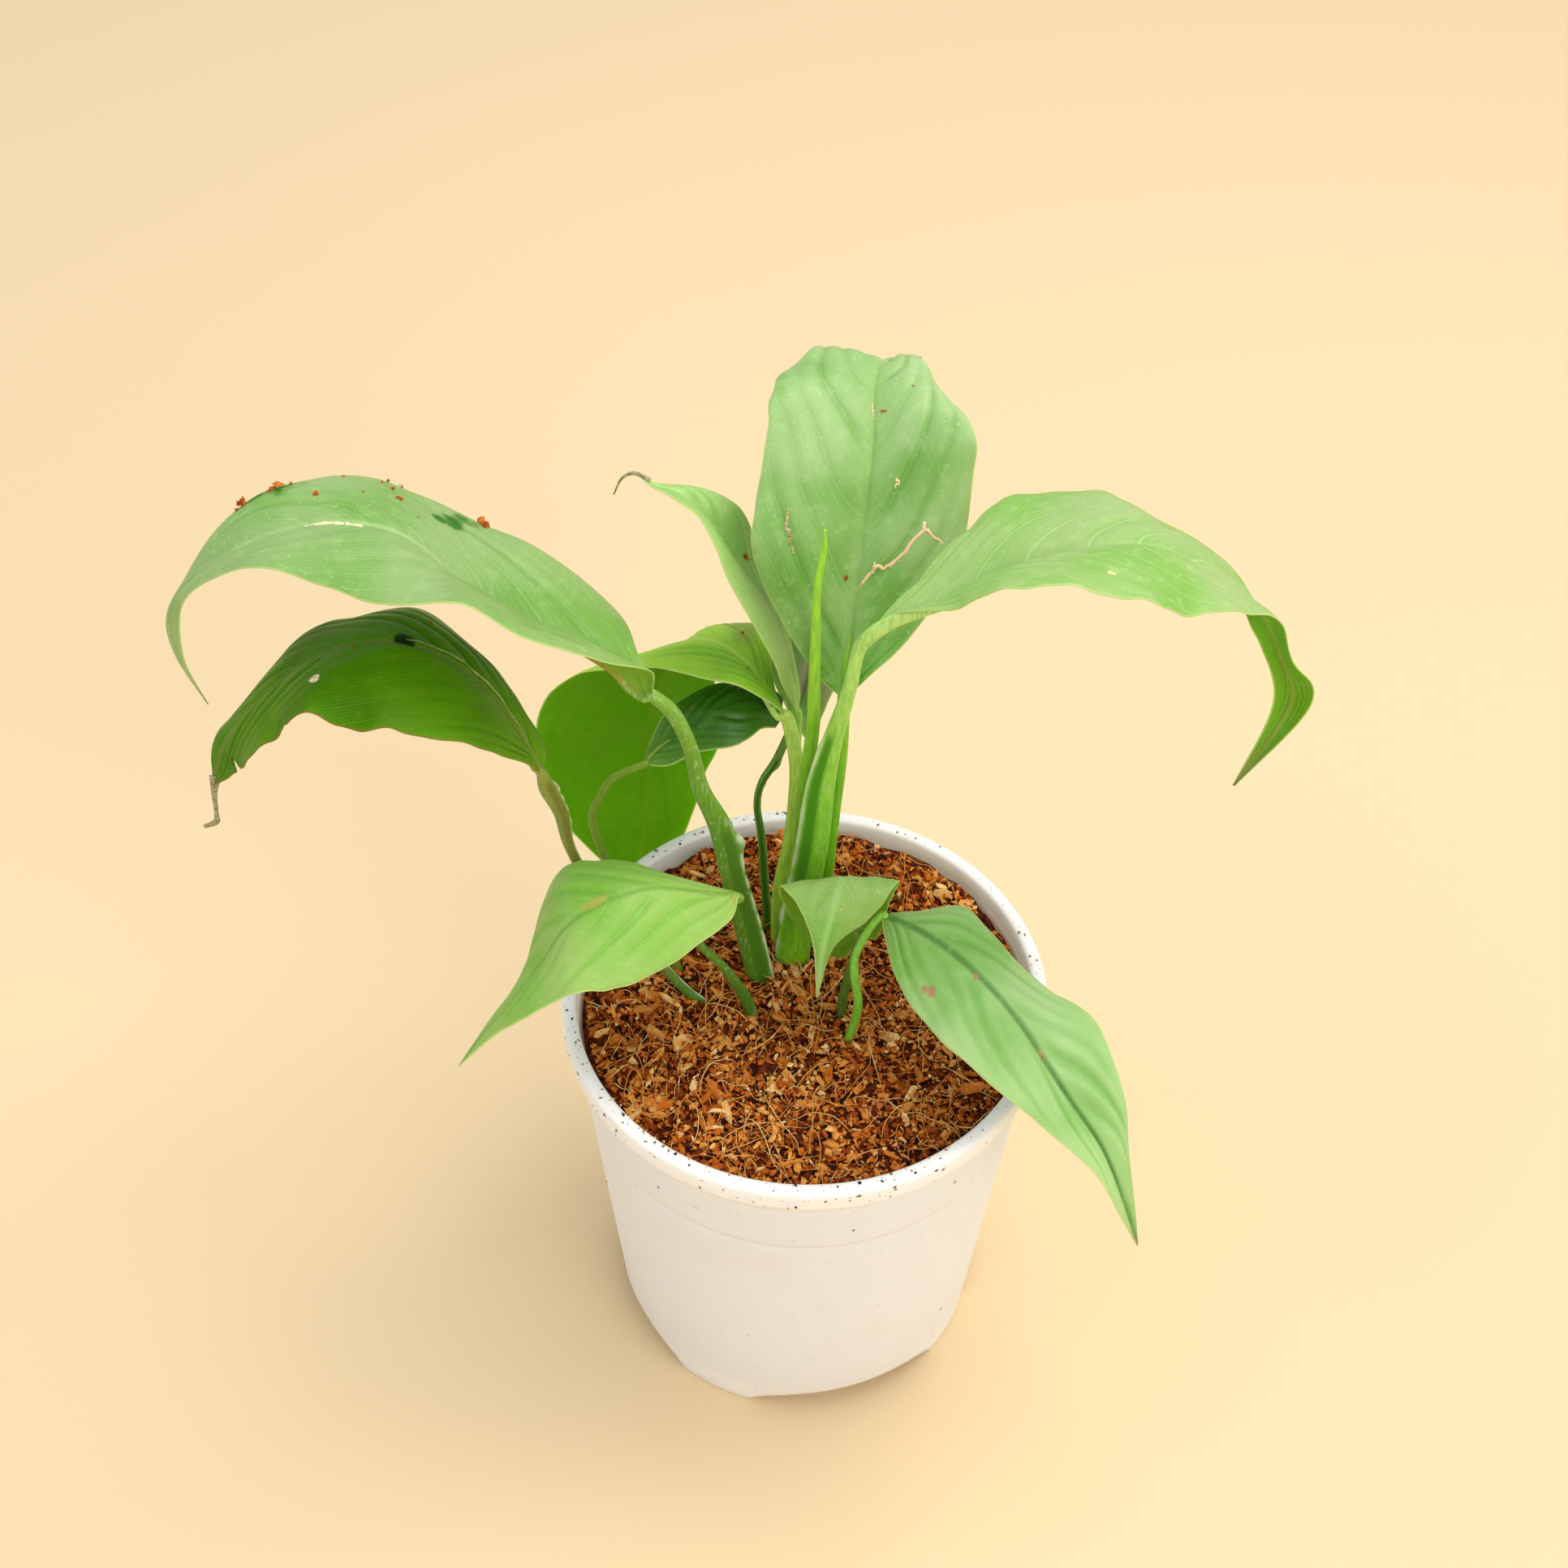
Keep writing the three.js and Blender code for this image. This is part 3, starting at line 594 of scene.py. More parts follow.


# Loose coir of one kind, strewn over the bed. The nearer to a dry place a piece lies, the paler it is; the
# lower it lies, the darker it is painted, as shade among the pieces round it.
def strewCoir(name, kind, shape, dryness, material, draw):
    count = kind["count"]
    x, y = discPlaces(draw, insideWall(98, kind["edgeGap"]), count)
    size = kind["least"] + kind["span"] * draw.uniform(*kind["draws"], count) ** kind["power"]
    lift = draw.uniform(*kind["lift"], count)
    places = np.stack([x, y, bedHeight(x, y) + lift], 1)
    sizes = size[:, None] * draw.uniform(kind["thinnest"], kind["thickest"], (count, 3))
    # Lower pieces darker: painted shade.
    tones = draw.normal(kind["tone"], kind["toneSpread"], count) + kind["liftShade"] * lift
    tones = tones + 0.1 * ripple(x, y, kind["patch"], kind["patchSeed"]) + dryness(x, y)
    scatter(name, shape, places, sizes, randomTurns(draw, count, kind["lean"]), kind["rough"],
            np.clip(tones, kind["darkest"], 1), material, draw)


# Crumbs of 0.7 to 2 mm all over, and husk chips of 1 to 6 mm.
def makeLooseCoir(material):
    dry = mix["dry"]
    away = lambda x, y: np.hypot(x - dry["place"][0], y - dry["place"][1]) / dry["radius"]
    dryness = lambda x, y: dry["rise"] * np.exp(-(away(x, y) ** 2)) + dry["elsewhere"]
    draw = np.random.default_rng(mix["seed"])
    strewCoir("coir_crumbs", mix["crumbs"], lump, dryness, material, draw)
    strewCoir("husk_chips", mix["chips"], slab, lambda x, y: 0, material, draw)


# Fibres: three-sided threads along gently curling paths that follow the bed and lift off it here and there.
def makeFibres(material):
    fibres = mix["fibres"]
    draw = np.random.default_rng(mix["seed"] + 1)
    count, steps = fibres["count"], fibres["steps"]
    reach = insideWall(98, fibres["edgeGap"])
    length = fibres["shortest"] + fibres["longer"] * draw.uniform(0, 1, count)[:, None] ** 2
    along = np.linspace(-0.5, 0.5, steps)
    startX, startY = discPlaces(draw, 0.98 * reach, count)
    bend, twist = draw.normal(0, fibres["bend"], (count, 1)), draw.normal(0, fibres["twist"], (count, 1))
    heading = draw.uniform(0, circle, (count, 1)) + bend * along + twist * along**2
    step = length / (steps - 1)
    middle = heading[:, steps // 2, None]
    x = startX[:, None] + np.cumsum(np.cos(heading) * step, 1) - length / 2 * np.cos(middle)
    y = startY[:, None] + np.cumsum(np.sin(heading) * step, 1) - length / 2 * np.sin(middle)
    far = np.maximum(np.hypot(x, y) / reach, 1)
    x, y = x / far, y / far
    hop = draw.uniform(*fibres["hop"], (count, 1)) * (1 - (2 * along) ** 2)
    z = bedHeight(x, y) + 0.9 + hop + 0.5 * np.sin(9 * along + draw.uniform(0, 6, (count, 1)))
    thick = draw.uniform(*fibres["thick"], (count, 1)) * (1 - 0.6 * np.abs(2 * along) ** 3)
    turn = np.arange(3) * circle / 3
    across = np.stack([-np.sin(heading), np.cos(heading), 0 * heading], -1)[:, :, None, :]
    up = np.array([0, 0, 1.0])
    centre = np.stack([x, y, z], -1)[:, :, None, :]
    ring = centre + thick[..., None, None] * (across * np.cos(turn)[:, None] + up * np.sin(turn)[:, None])
    ends = np.array([[2, 1, 0], [3 * steps - 3, 3 * steps - 2, 3 * steps - 1]])
    faces = repeatFaces([gridFaces(steps, 3, closed=True), ends], 3 * steps, count)
    tones = np.clip(draw.normal(fibres["tone"], fibres["toneSpread"], count), 0.3, 1.05)
    makePiece("coir_fibres", ring.reshape(-1, 3) * mm, faces, [material],
              fields={"tone": np.repeat(tones, steps * 3)})


bedCoir = coirMaterial("moist coir pith", 0.7, mix["coir"])
looseCoir = coirMaterial("shredded coconut husk", 1.1, mix["coir"])
makeBed(bedCoir)
makeLooseCoir(looseCoir)
makeFibres(looseCoir)
print("potting mix made")


# One entry for each leaf, in mm. base is where the blade leaves its stalk and tip its drip tip; each row
# between is [left margin, midrib, right margin]. A stalk row is [x, y, z, width, depth]; run, where given,
# is the stalk's own end under the midrib, and drip is a withered end of the tip, both in stalk rows. The
# marks lie at [along, across]: bites are tears in the margin, [along, side, depth in mm, width], blemishes
# [along, across, radius in mm], crumbs [along, across, size in mm], and scars [tint, width in mm, line].
# What an entry leaves out comes from leafDefaults.
leaves = {
    "upper_left": {
        "base": [-31, 8, 185], "tip": [-118, 12, 175],
        "rows": [
            [[-31, 3, 197], [-35, 9, 187], [-34, 16, 188]],
            [[-39, -5, 208], [-41, 9, 194], [-39, 25, 191]],
            [[-53, -10, 217], [-55, 11, 202], [-53, 30, 202]],
            [[-64, -10, 224], [-66, 12, 210], [-64, 32, 207]],
            [[-76, -7, 222], [-76, 13, 220], [-77, 31, 214]],
            [[-87, -4, 223], [-88, 14, 222], [-87, 31, 219]],
            [[-99, 0, 223], [-101, 13, 219], [-102, 25, 221]],
            [[-110, 5, 216], [-112, 12, 212], [-113, 18, 213]],
            [[-118, 8, 206], [-121, 12, 202], [-122, 16, 197]],
            [[-120, 9, 192], [-122, 12, 190], [-123, 15, 187]],
        ],
        "stalk": [
            [-9, 7, 88, 6.2, 2.6], [-9, 7, 95, 6.2, 2.6], [-12, 7, 115, 6, 2.6], [-15, 7, 131, 5.6, 2.6],
            [-18, 8, 147, 5, 2.6], [-22, 8, 159, 3.6, 2.8], [-24, 8, 171, 3, 3], [-27, 8, 180, 3, 3],
            [-31, 8, 185, 2.6, 2.6],
        ],
        "upper": "#8EAC6A", "deep": "#5C9428", "vein": "#B2D08C", "rib": "#AECB84", "under": "#7E9A2C",
        "ribUnder": "#B87428", "blemishTint": "#2C6C06", "veins": 12, "quilt": 0.8, "gloss": 0.36,
        "ribLine": 0.45, "specks": 0.25,
        "blemishes": [
            [0.4, 0.7, 3.2], [0.385, 0.88, 2.6], [0.42, 0.6, 1.6], [0.62, 0.95, 4], [0.66, 0.95, 3],
        ],
        "crumbs": [
            [0.366, 0.97, 1.9], [0.355, 0.97, 1.6], [0.36, 0.9, 1], [0.473, 0.6, 1.2], [0.577, 0.5, 1.4],
            [0.628, 0.93, 1.7], [0.636, 0.9, 1], [0.668, 0.93, 2.1], [0.674, 0.85, 1.2], [0.61, 0.94, 0.8],
            [0.56, 0.96, 0.7], [0.52, 0.5, 0.5], [0.5, 0.9, 0.7], [0.482, 0.8, 0.9], [0.495, 0.97, 0.8],
            [0.44, 0.35, 0.5], [0.47, 0.97, 0.7],
        ],
        "scars": [["#DDE0A8", 1.0, [[0.505, -0.08], [0.53, -0.07], [0.56, -0.05], [0.58, -0.04]]]],
    },
    "shaded_left": {
        "base": [-53, 4, 167], "tip": [-118, 3, 162],
        "rows": [
            [[-57, -4, 179], [-55, 4, 174], [-53, 8, 170]],
            [[-64, -12, 191], [-60, 4, 186], [-58, 13, 178]],
            [[-74, -15, 197], [-68, 5, 196], [-66, 19, 187]],
            [[-84, -15, 198], [-79, 5, 201], [-78, 22, 192]],
            [[-93, -12, 198], [-91, 5, 198], [-90, 22, 191]],
            [[-102, -8, 186], [-101, 5, 190], [-101, 19, 186]],
            [[-109, -3, 175], [-110, 4, 180], [-111, 13, 176]],
            [[-112, 0, 169], [-115, 4, 171], [-117, 8, 171]],
        ],
        "stalk": [
            [-15, 2, 88, 2.8, 2.2], [-18, 1, 94, 2.8, 2.2], [-26, 2, 102, 2.3, 2.1],
            [-35, 5, 114, 2.2, 2.1], [-45, 7, 130, 2.2, 2.1], [-49, 7, 142, 2.3, 2.1],
            [-50, 6, 153, 3.2, 2], [-52, 5, 161, 3.8, 1.8], [-53, 4, 167, 2.2, 1.6],
        ],
        # Its dark greens are partly painted shade, the leaf lying under upper_left.
        "upper": "#508208", "deep": "#306000", "vein": "#7E8C24", "rib": "#86904C", "under": "#5E8E10",
        "marginTint": "#8A5A38", "blemishTint": "#12300A", "veins": 11, "quilt": 0.75, "veinWidth": 0.16,
        "frill": 0.45, "frills": 6, "ragged": 0.03, "gloss": 0.3, "sheen": 0.06, "threads": 0.18,
        "veinLine": 0.35, "ribLine": 0.3, "specks": 0.04,
        "bites": [[0.845, -1, 6, 0.012], [0.62, -1, 1.2, 0.008], [0.2, 1, 1.2, 0.02]],
        "blemishes": [[0.423, 0.05, 2.4], [0.41, 0.0, 1.2]],
        "crumbs": [[0.4, 0.6, 0.5], [0.5, -0.1, 0.5]],
        "scars": [
            ["#E4DCA8", 1.4, [[0.537, -0.55], [0.55, -0.6]]],
            ["#8C8444", 0.35, [[0.42, 0.05], [0.34, 0.1], [0.24, 0.11], [0.12, 0.07]]],
        ],
        "drip": [
            [-117, 3, 165, 2.4, 0.5], [-118, 3, 160, 1.2, 0.5], [-118.5, 3, 154, 0.9, 0.5],
            [-119, 3, 151.5, 1.4, 0.6], [-121.5, 3, 150, 1, 0.5],
        ],
    },
    "arching_back": {
        "base": [-5, 22, 165], "tip": [-39, 50, 75],
        "rows": [
            [[-9, 19, 173], [-9, 25, 169], [-8, 30, 166]],
            [[-16, 19, 178], [-14, 30, 173], [-10, 41, 171]],
            [[-26, 24, 175], [-21, 37, 172], [-16, 49, 165]],
            [[-37, 31, 169], [-27, 45, 163], [-20, 56, 155]],
            [[-51, 39, 159], [-33, 50, 147], [-21, 60, 135]],
            [[-59, 43, 141], [-36, 52, 128], [-20, 61, 119]],
            [[-58, 45, 119], [-37, 53, 108], [-24, 59, 106]],
            [[-54, 47, 102], [-38, 52, 91], [-29, 55, 90]],
        ],
        "stalk": [
            [-6, 16, 88, 3.2, 2.8], [-6, 16.5, 96, 3.2, 2.8], [-6, 17.5, 116, 3, 2.8],
            [-4, 18.5, 131, 3, 2.8], [-3, 19.5, 144, 3.1, 2.8], [-3, 20.5, 154, 3.1, 2.6],
            [-5, 22, 165, 2.8, 2.2],
        ],
        # Its saturated greens, with almost no blue, partly paint light shining through the blade from behind.
        "upper": "#9CCC3C", "deep": "#5C9410", "vein": "#A8CC50", "rib": "#B8CE6A", "under": "#5C9C02",
        "ribUnder": "#6CA010", "blemishTint": "#7C7444", "veins": 13, "quilt": 0.5, "frill": 0.4,
        "sheen": 0.1, "veinLine": 0.08, "specks": 0.05, "blemishShare": 0.5,
        "blemishes": [[0.27, 0.6, 7], [0.33, 0.9, 7]],
        "crumbs": [[0.2, -0.3, 0.6], [0.269, 0.5, 0.7]],
    },
    "inner": {
        "base": [-34, 16, 157], "tip": [-6, 32, 161],
        "rows": [
            [[-33, 20, 158], [-31, 18, 160], [-29, 15, 158]],
            [[-29, 26, 163], [-25, 21, 163], [-23, 17, 160]],
            [[-21, 31, 165], [-19, 24, 166], [-15, 19, 160]],
            [[-13, 33, 164], [-12, 28, 165], [-10, 23, 161]],
            [[-8, 33, 162], [-8, 30, 163], [-7, 26, 159]],
        ],
        "stalk": [
            [-18, 8, 88, 2, 1.8], [-23, 8, 92, 2, 1.8], [-34, 11, 112, 1.8, 1.7], [-42, 14, 128, 1.7, 1.7],
            [-45, 16, 140, 1.7, 1.7], [-43, 16, 147, 1.7, 1.7], [-40, 16, 153, 1.7, 1.7],
            [-34, 16, 157, 1.6, 1.6],
        ],
        # Its near-black greens are painted shade: the leaf lies under upper_left and arching_back.
        "upper": "#386816", "deep": "#183C04", "vein": "#6A9434", "rib": "#34601A", "under": "#5A8A20",
        "baseTint": "#6A9A34", "veins": 9, "sweep": 0.36, "quilt": 0.7, "frill": 0.35, "frills": 2,
        "gloss": 0.3, "sheen": 0.3, "veinLine": 0.15, "baseShare": 0.75, "specks": 0.08,
        "crumbs": [[0.4, -0.5, 0.5]],
    },
    "narrow": {
        "base": [-3, 28, 160], "tip": [-34, 35, 217],
        "rows": [
            [[-6, 24, 172], [-4, 28, 169], [-3, 32, 163]],
            [[-9, 22, 183], [-6, 27, 182], [-5, 32, 177]],
            [[-15, 22, 198], [-10, 28, 192], [-8, 33, 187]],
            [[-19, 24, 208], [-16, 30, 200], [-11, 35, 194]],
            [[-23, 27, 214], [-21, 32, 208], [-14, 37, 206]],
            [[-28, 30, 216], [-26, 33, 214], [-21, 37, 212]],
            [[-32, 33, 216], [-31, 34, 215], [-30, 35, 215]],
        ],
        "stalk": [
            [-3, 22.5, 88, 2.2, 2], [-3, 24, 95, 2.2, 2], [-4, 24, 124, 2, 2], [-2, 25, 139, 2, 2],
            [-3, 26, 150, 2, 2], [-3, 28, 160, 2, 1.8],
        ],
        "upper": "#A0C476", "deep": "#6CA434", "vein": "#B2D488", "rib": "#B8D48C", "under": "#6E9A34",
        "baseTint": "#8CBE3C", "veins": 10, "sweep": 0.4, "quilt": 0.3, "frill": 0.3,
        "blemishes": [[0.517, 0.4, 1.2]],
        "crumbs": [[0.517, 0.4, 0.9], [0.51, 0.47, 0.6]],
        "drip": [
            [-32, 34.5, 216.2, 0.9, 1], [-35, 35, 217.5, 0.7, 0.9], [-37.5, 35, 216, 0.5, 0.6],
            [-39, 34, 213, 0.3, 0.3],
        ],
    },
    "tall_back": {
        "base": [6, 18, 175], "tip": [9, 76, 190],
        "rows": [
            [[1, 18, 181], [6, 20, 181], [11, 16, 184]],
            [[-6, 20, 193], [7, 23, 191], [19, 21, 191]],
            [[-12, 23, 207], [8, 28, 202], [27, 27, 204]],
            [[-12, 29, 216], [9, 34, 212], [29, 33, 217]],
            [[-10, 36, 226], [10, 41, 221], [29, 37, 227]],
            [[-10, 43, 231], [10, 49, 227], [26, 43, 229]],
            [[-6, 52, 230], [11, 55, 228], [22, 51, 230]],
            [[-1, 60, 228], [12, 60, 226], [19, 58, 229]],
            [[0, 68, 217], [11, 68, 216], [19, 67, 218]],
        ],
        "stalk": [
            [2.5, 16, 88, 2.8, 2.6], [3, 16, 98, 2.8, 2.6], [4, 16, 123, 2.8, 2.6], [5, 17, 143, 2.7, 2.4],
            [6, 17, 160, 2.5, 2.2], [6, 18, 175, 2.6, 2.2],
        ],
        "upper": "#9ABA7A", "deep": "#58921E", "vein": "#BCD69A", "rib": "#AACC7C", "under": "#6E9A30",
        "baseTint": "#4E8E06", "veins": 8, "quilt": 1.0, "veinWidth": 0.18, "shallowest": 0.45,
        "ragged": 0.008, "gloss": 0.4, "threads": 0.05, "veinLine": 0.12, "ribLine": 0.3, "ribWidth": 3.0,
        "baseShare": 0.9,
        "bites": [[0.64, 1, 2, 0.07], [0.6, -1, 1, 0.03]],
        "crumbs": [
            [0.552, 0.1, 0.8], [0.279, -0.15, 0.9], [0.269, 0.05, 0.5], [0.9, 0.3, 0.5], [0.62, 0.5, 0.4],
        ],
        "scars": [
            ["#F0C496", 0.75, [
             [0.262, 0.04], [0.275, 0.09], [0.296, 0.15], [0.292, 0.27], [0.305, 0.34], [0.322, 0.43],
             [0.35, 0.56], [0.34, 0.62], [0.326, 0.76]]],
            ["#F0C896", 0.7, [[0.345, 0.55], [0.362, 0.56]]],
            ["#F0C896", 0.6, [[0.282, 0.15], [0.3, 0.14]]],
            ["#F0C896", 0.5, [[0.435, 0.24], [0.425, 0.26], [0.416, 0.24]]],
            ["#D8B890", 0.5, [[0.57, -0.02], [0.54, 0.0]]],
            ["#A08A4C", 0.8, [[0.388, -0.74], [0.35, -0.7], [0.312, -0.65]]],
        ],
    },
    "hidden_back": {
        "base": [-4, 30, 155], "tip": [3, 76, 166],
        "rows": [
            [[-5, 34, 155], [-3, 36, 155], [0, 32, 150]],
            [[-9, 42, 160], [-1, 41, 161], [5, 38, 160]],
            [[-9, 52, 167], [0, 48, 170], [8, 46, 170]],
            [[-7, 60, 174], [1, 56, 177], [8, 54, 177]],
            [[-3, 66, 180], [2, 63, 182], [6, 61, 183]],
        ],
        "stalk": [
            [-8, 20, 88, 2.2, 2], [-8, 20, 95, 2.2, 2], [-9, 20, 113, 1.8, 1.8], [-10, 21, 130, 1.7, 1.7],
            [-11, 22, 139, 1.5, 1.6], [-10, 23, 145, 1.6, 1.6], [-7, 26, 149, 1.8, 1.6],
            [-4, 30, 155, 1.6, 1.6],
        ],
        # Its dull olive-bronze greens are partly painted shade: the leaf lies in the shadow of tall_back and
        # narrow.
        "upper": "#6E8A4A", "deep": "#50702C", "vein": "#90A070", "rib": "#8A9A60", "under": "#6E7A48",
        "blemishTint": "#8A7A60", "veins": 10, "quilt": 0.4, "frill": 0.4, "frills": 5, "gloss": 0.45,
        "blemishShare": 0.7,
        "blemishes": [[0.3, 0.3, 8]],
    },
    "upper_right": {
        "base": [8, 10, 196], "tip": [82, 4, 166],
        "rows": [
            [[13, 13, 203], [14, 10, 204], [13, 9, 206]],
            [[20, 18, 210], [23, 9, 211], [23, -2, 219]],
            [[28, 23, 217], [32, 9, 217], [32, -9, 230]],
            [[38, 29, 219], [42, 8, 223], [42, -11, 233]],
            [[52, 29, 220], [52, 7, 227], [52, -11, 231]],
            [[64, 28, 214], [62, 7, 226], [62, -9, 226]],
            [[78, 25, 204], [75, 8, 217], [72, -5, 222]],
            [[80, 12, 206], [82, 8, 210], [83, 3, 214]],
            [[84, 9, 199], [87, 7, 200], [88, 3, 203]],
            [[87, 6, 188], [90, 5, 189], [93, 2, 192]],
        ],
        "stalk": [
            [-3, 11.5, 88, 7.6, 3.8], [-3, 12, 94, 7.6, 3.8], [-2, 11.5, 115, 7.2, 3.8],
            [0, 11.5, 132, 6.9, 3.6], [1, 11.5, 144, 6.6, 3.4], [2, 11.5, 158, 5.8, 3], [4, 11, 171, 4, 3],
            [6, 10, 182, 3.1, 3], [7, 10, 188, 2.8, 2.8], [8, 10, 196, 2.6, 2.4],
        ],
        "upper": "#9AB670", "deep": "#6CA828", "vein": "#C0DC9C", "rib": "#A4CC78", "under": "#6A9408",
        "ribUnder": "#B79A5C", "baseTint": "#B0D67C", "veins": 12, "sweep": 0.36, "quilt": 0.8, "frills": 8,
        "gloss": 0.4, "veinLine": 0.45, "ribLine": 0.25, "specks": 0.2,
        "scars": [["#E8DCA0", 1.1, [[0.438, 0.66], [0.445, 0.64]]]],
        "run": [
            [10, 9, 201, 2.9, 2.7], [13.5, 8, 205.5, 2.8, 2.5], [18, 6, 210, 2.4, 2.1],
            [23, 4, 214, 1.8, 1.6], [28, 2, 218.3, 1.1, 1.0], [33, 0.5, 222, 0.5, 0.5],
        ],
    },
    "lower_left": {
        "base": [-14, -3, 140], "tip": [-71, -26, 110],
        "rows": [
            [[-16, -10, 139], [-19, -4, 141], [-19, 1, 137]],
            [[-26, -19, 138], [-30, -7, 146], [-33, 3, 140]],
            [[-36, -26, 138], [-39, -11, 147], [-42, 3, 142]],
            [[-45, -29, 139], [-47, -15, 144], [-50, 1, 142]],
            [[-52, -29, 135], [-52, -19, 138], [-54, -5, 133]],
            [[-59, -28, 127], [-58, -23, 130], [-57, -15, 128]],
            [[-65, -27, 119], [-65, -24, 119], [-63, -21, 121]],
        ],
        "stalk": [
            [-9.5, -2.5, 88, 2.5, 2.2], [-10, -3, 93, 2.5, 2.2], [-12, -3, 103, 2.8, 2],
            [-14, -3, 109, 2.5, 1.9], [-18, -3, 117, 1.9, 1.8], [-22, -3, 123, 1.8, 1.8],
            [-23, -3, 129, 1.8, 1.8], [-20, -3, 135, 1.8, 1.8], [-14, -3, 138, 1.6, 1.6],
        ],
        "upper": "#96B85C", "deep": "#68B01C", "vein": "#A6D470", "rib": "#70A03C", "under": "#7CAA34",
        "baseTint": "#B4D070", "marginTint": "#CDE48C", "blemishTint": "#B9A04C", "veins": 8, "sweep": 0.36,
        "veinWidth": 0.2, "frill": 0.4, "gloss": 0.45, "baseShare": 0.6, "specks": 0.15,
        "blemishShare": 0.6, "dryTip": 0.2,
        "blemishes": [[0.393, 0.08, 1.3], [0.42, 0.05, 1.6], [0.45, 0.06, 1.2], [0.06, -0.6, 1.5]],
    },
    "front": {
        "base": [11, 0, 123], "tip": [2, -22, 130],
        "rows": [
            [[15, 4, 118], [10, 2, 127], [7, 4, 111]],
            [[17, 3, 131], [9, 1, 135], [-3, 4, 123]],
            [[18, -3, 144], [7, -4, 147], [-6, -4, 144]],
            [[12, -10, 141], [5, -12, 147], [-2, -11, 145]],
            [[5, -16, 139], [3, -18, 141], [1, -17, 141]],
        ],
        "stalk": [
            [6.5, -1.5, 88, 2.3, 2], [8, -2, 94, 2.3, 2], [8, -2, 103, 2.1, 2], [9, -1, 111, 2, 1.9],
            [11, 0, 123, 1.8, 1.8],
        ],
        "upper": "#90B05A", "deep": "#68A428", "vein": "#A8D080", "rib": "#98C470", "under": "#6E9418",
        "veins": 7, "sweep": 0.3, "quilt": 0.45, "bow": 0.02, "frill": 0.3, "gloss": 0.45,
    },
    "lower_right": {
        "base": [15, -3, 134], "tip": [71, -44, 76],
        "rows": [
            [[22, -1, 133], [20, -6, 135], [16, -9, 132]],
            [[32, -1, 135], [27, -12, 136], [19, -19, 130]],
            [[39, -7, 131], [35, -19, 134], [27, -30, 128]],
            [[49, -15, 126], [43, -26, 128], [37, -38, 124]],
            [[58, -23, 127], [52, -33, 116], [48, -43, 117]],
            [[64, -32, 115], [60, -39, 106], [58, -46, 107]],
            [[67, -39, 101], [65, -43, 95], [63, -47, 97]],
        ],
        "stalk": [
            [6, -6.5, 88, 1.7, 1.7], [8, -9, 95, 1.7, 1.7], [10, -9, 103, 1.9, 1.8],
            [11, -9, 112, 1.9, 1.8], [10, -8, 120, 1.8, 1.7], [10, -6, 124, 1.7, 1.7],
            [12, -4, 129, 1.7, 1.7], [15, -3, 134, 1.6, 1.6],
        ],
        # Its dark rib is painted shade along the midrib's groove.
        "upper": "#A6CA84", "deep": "#60A02C", "vein": "#A4CE80", "rib": "#3E7424", "under": "#6E9A30",
        "blemishTint": "#A8845C", "veins": 9, "sweep": 0.36, "quilt": 1.0, "veinWidth": 0.3,
        "tailDrop": 0.6, "threads": 0.04, "veinLine": 0.08, "ribLine": 0.7, "ribWidth": 1.4, "specks": 0.2,
        "blemishes": [[0.304, 0.65, 1.6], [0.29, 0.7, 1.1], [0.557, 0.0, 1.3], [0.36, 0.05, 0.9]],
        "crumbs": [[0.557, 0.0, 0.7]],
    },
}

leafDefaults = {
    "ribUnder": "#A8B850", "baseTint": "#78AA28", "marginTint": "#B8D480", "blemishTint": "#B07A3A",
    "sweep": 0.38,  # how far each lateral vein runs on towards the tip, as a share of the blade
    "quilt": 0.9,  # how far the tissue puffs up between veins, in mm
    "veinWidth": 0.27,  # of a lateral vein's hollow, as a share of the gap between veins
    "shallowest": 0.25,  # hollow, as a share of the deepest
    "bow": 0.09,  # of each half, as a share of its width
    "frill": 0.5,  # waves of the margin, in mm, and how many there are
    "frills": 3,
    "ragged": 0.01,
    "tailDrop": 0.25,  # of the stalk's end below the midrib, as a share of its width
    # Roughness, strengths of marks and shares of tints; hollowShade is the share of painted shade in the vein
    # hollows.
    "gloss": 0.42, "sheen": 0.4, "translucency": 0.3, "mottling": 0.7, "hollowShade": 0.5, "threads": 0.1,
    "veinLine": 0.22, "ribLine": 0.6, "ribWidth": 1.1, "baseShare": 0.5, "specks": 0.3, "blemishShare": 1.0,
    "dryTip": 0.5,
    "bites": [], "blemishes": [], "crumbs": [], "scars": [],
}

# In mm, apart from the counts and shares.
blade = {
    "rows": 170,
    "columns": 34,  # on each side of the midrib
    "thickness": 0.42,
    "marginThickness": 0.2,
    "marginWidth": 3,  # over which the blade thins
    "grooveDepth": 0.35,
    "grooveWidth": 0.7,
    "ridge": 0.42,  # height of the midrib under the blade, as a share of the stalk's width
    "cut": 0.006,  # share left off at each end
    "fade": 12,  # half width below which quilting and waves die away
    "sag": 0.45,
    "sagSpacing": 22,
}


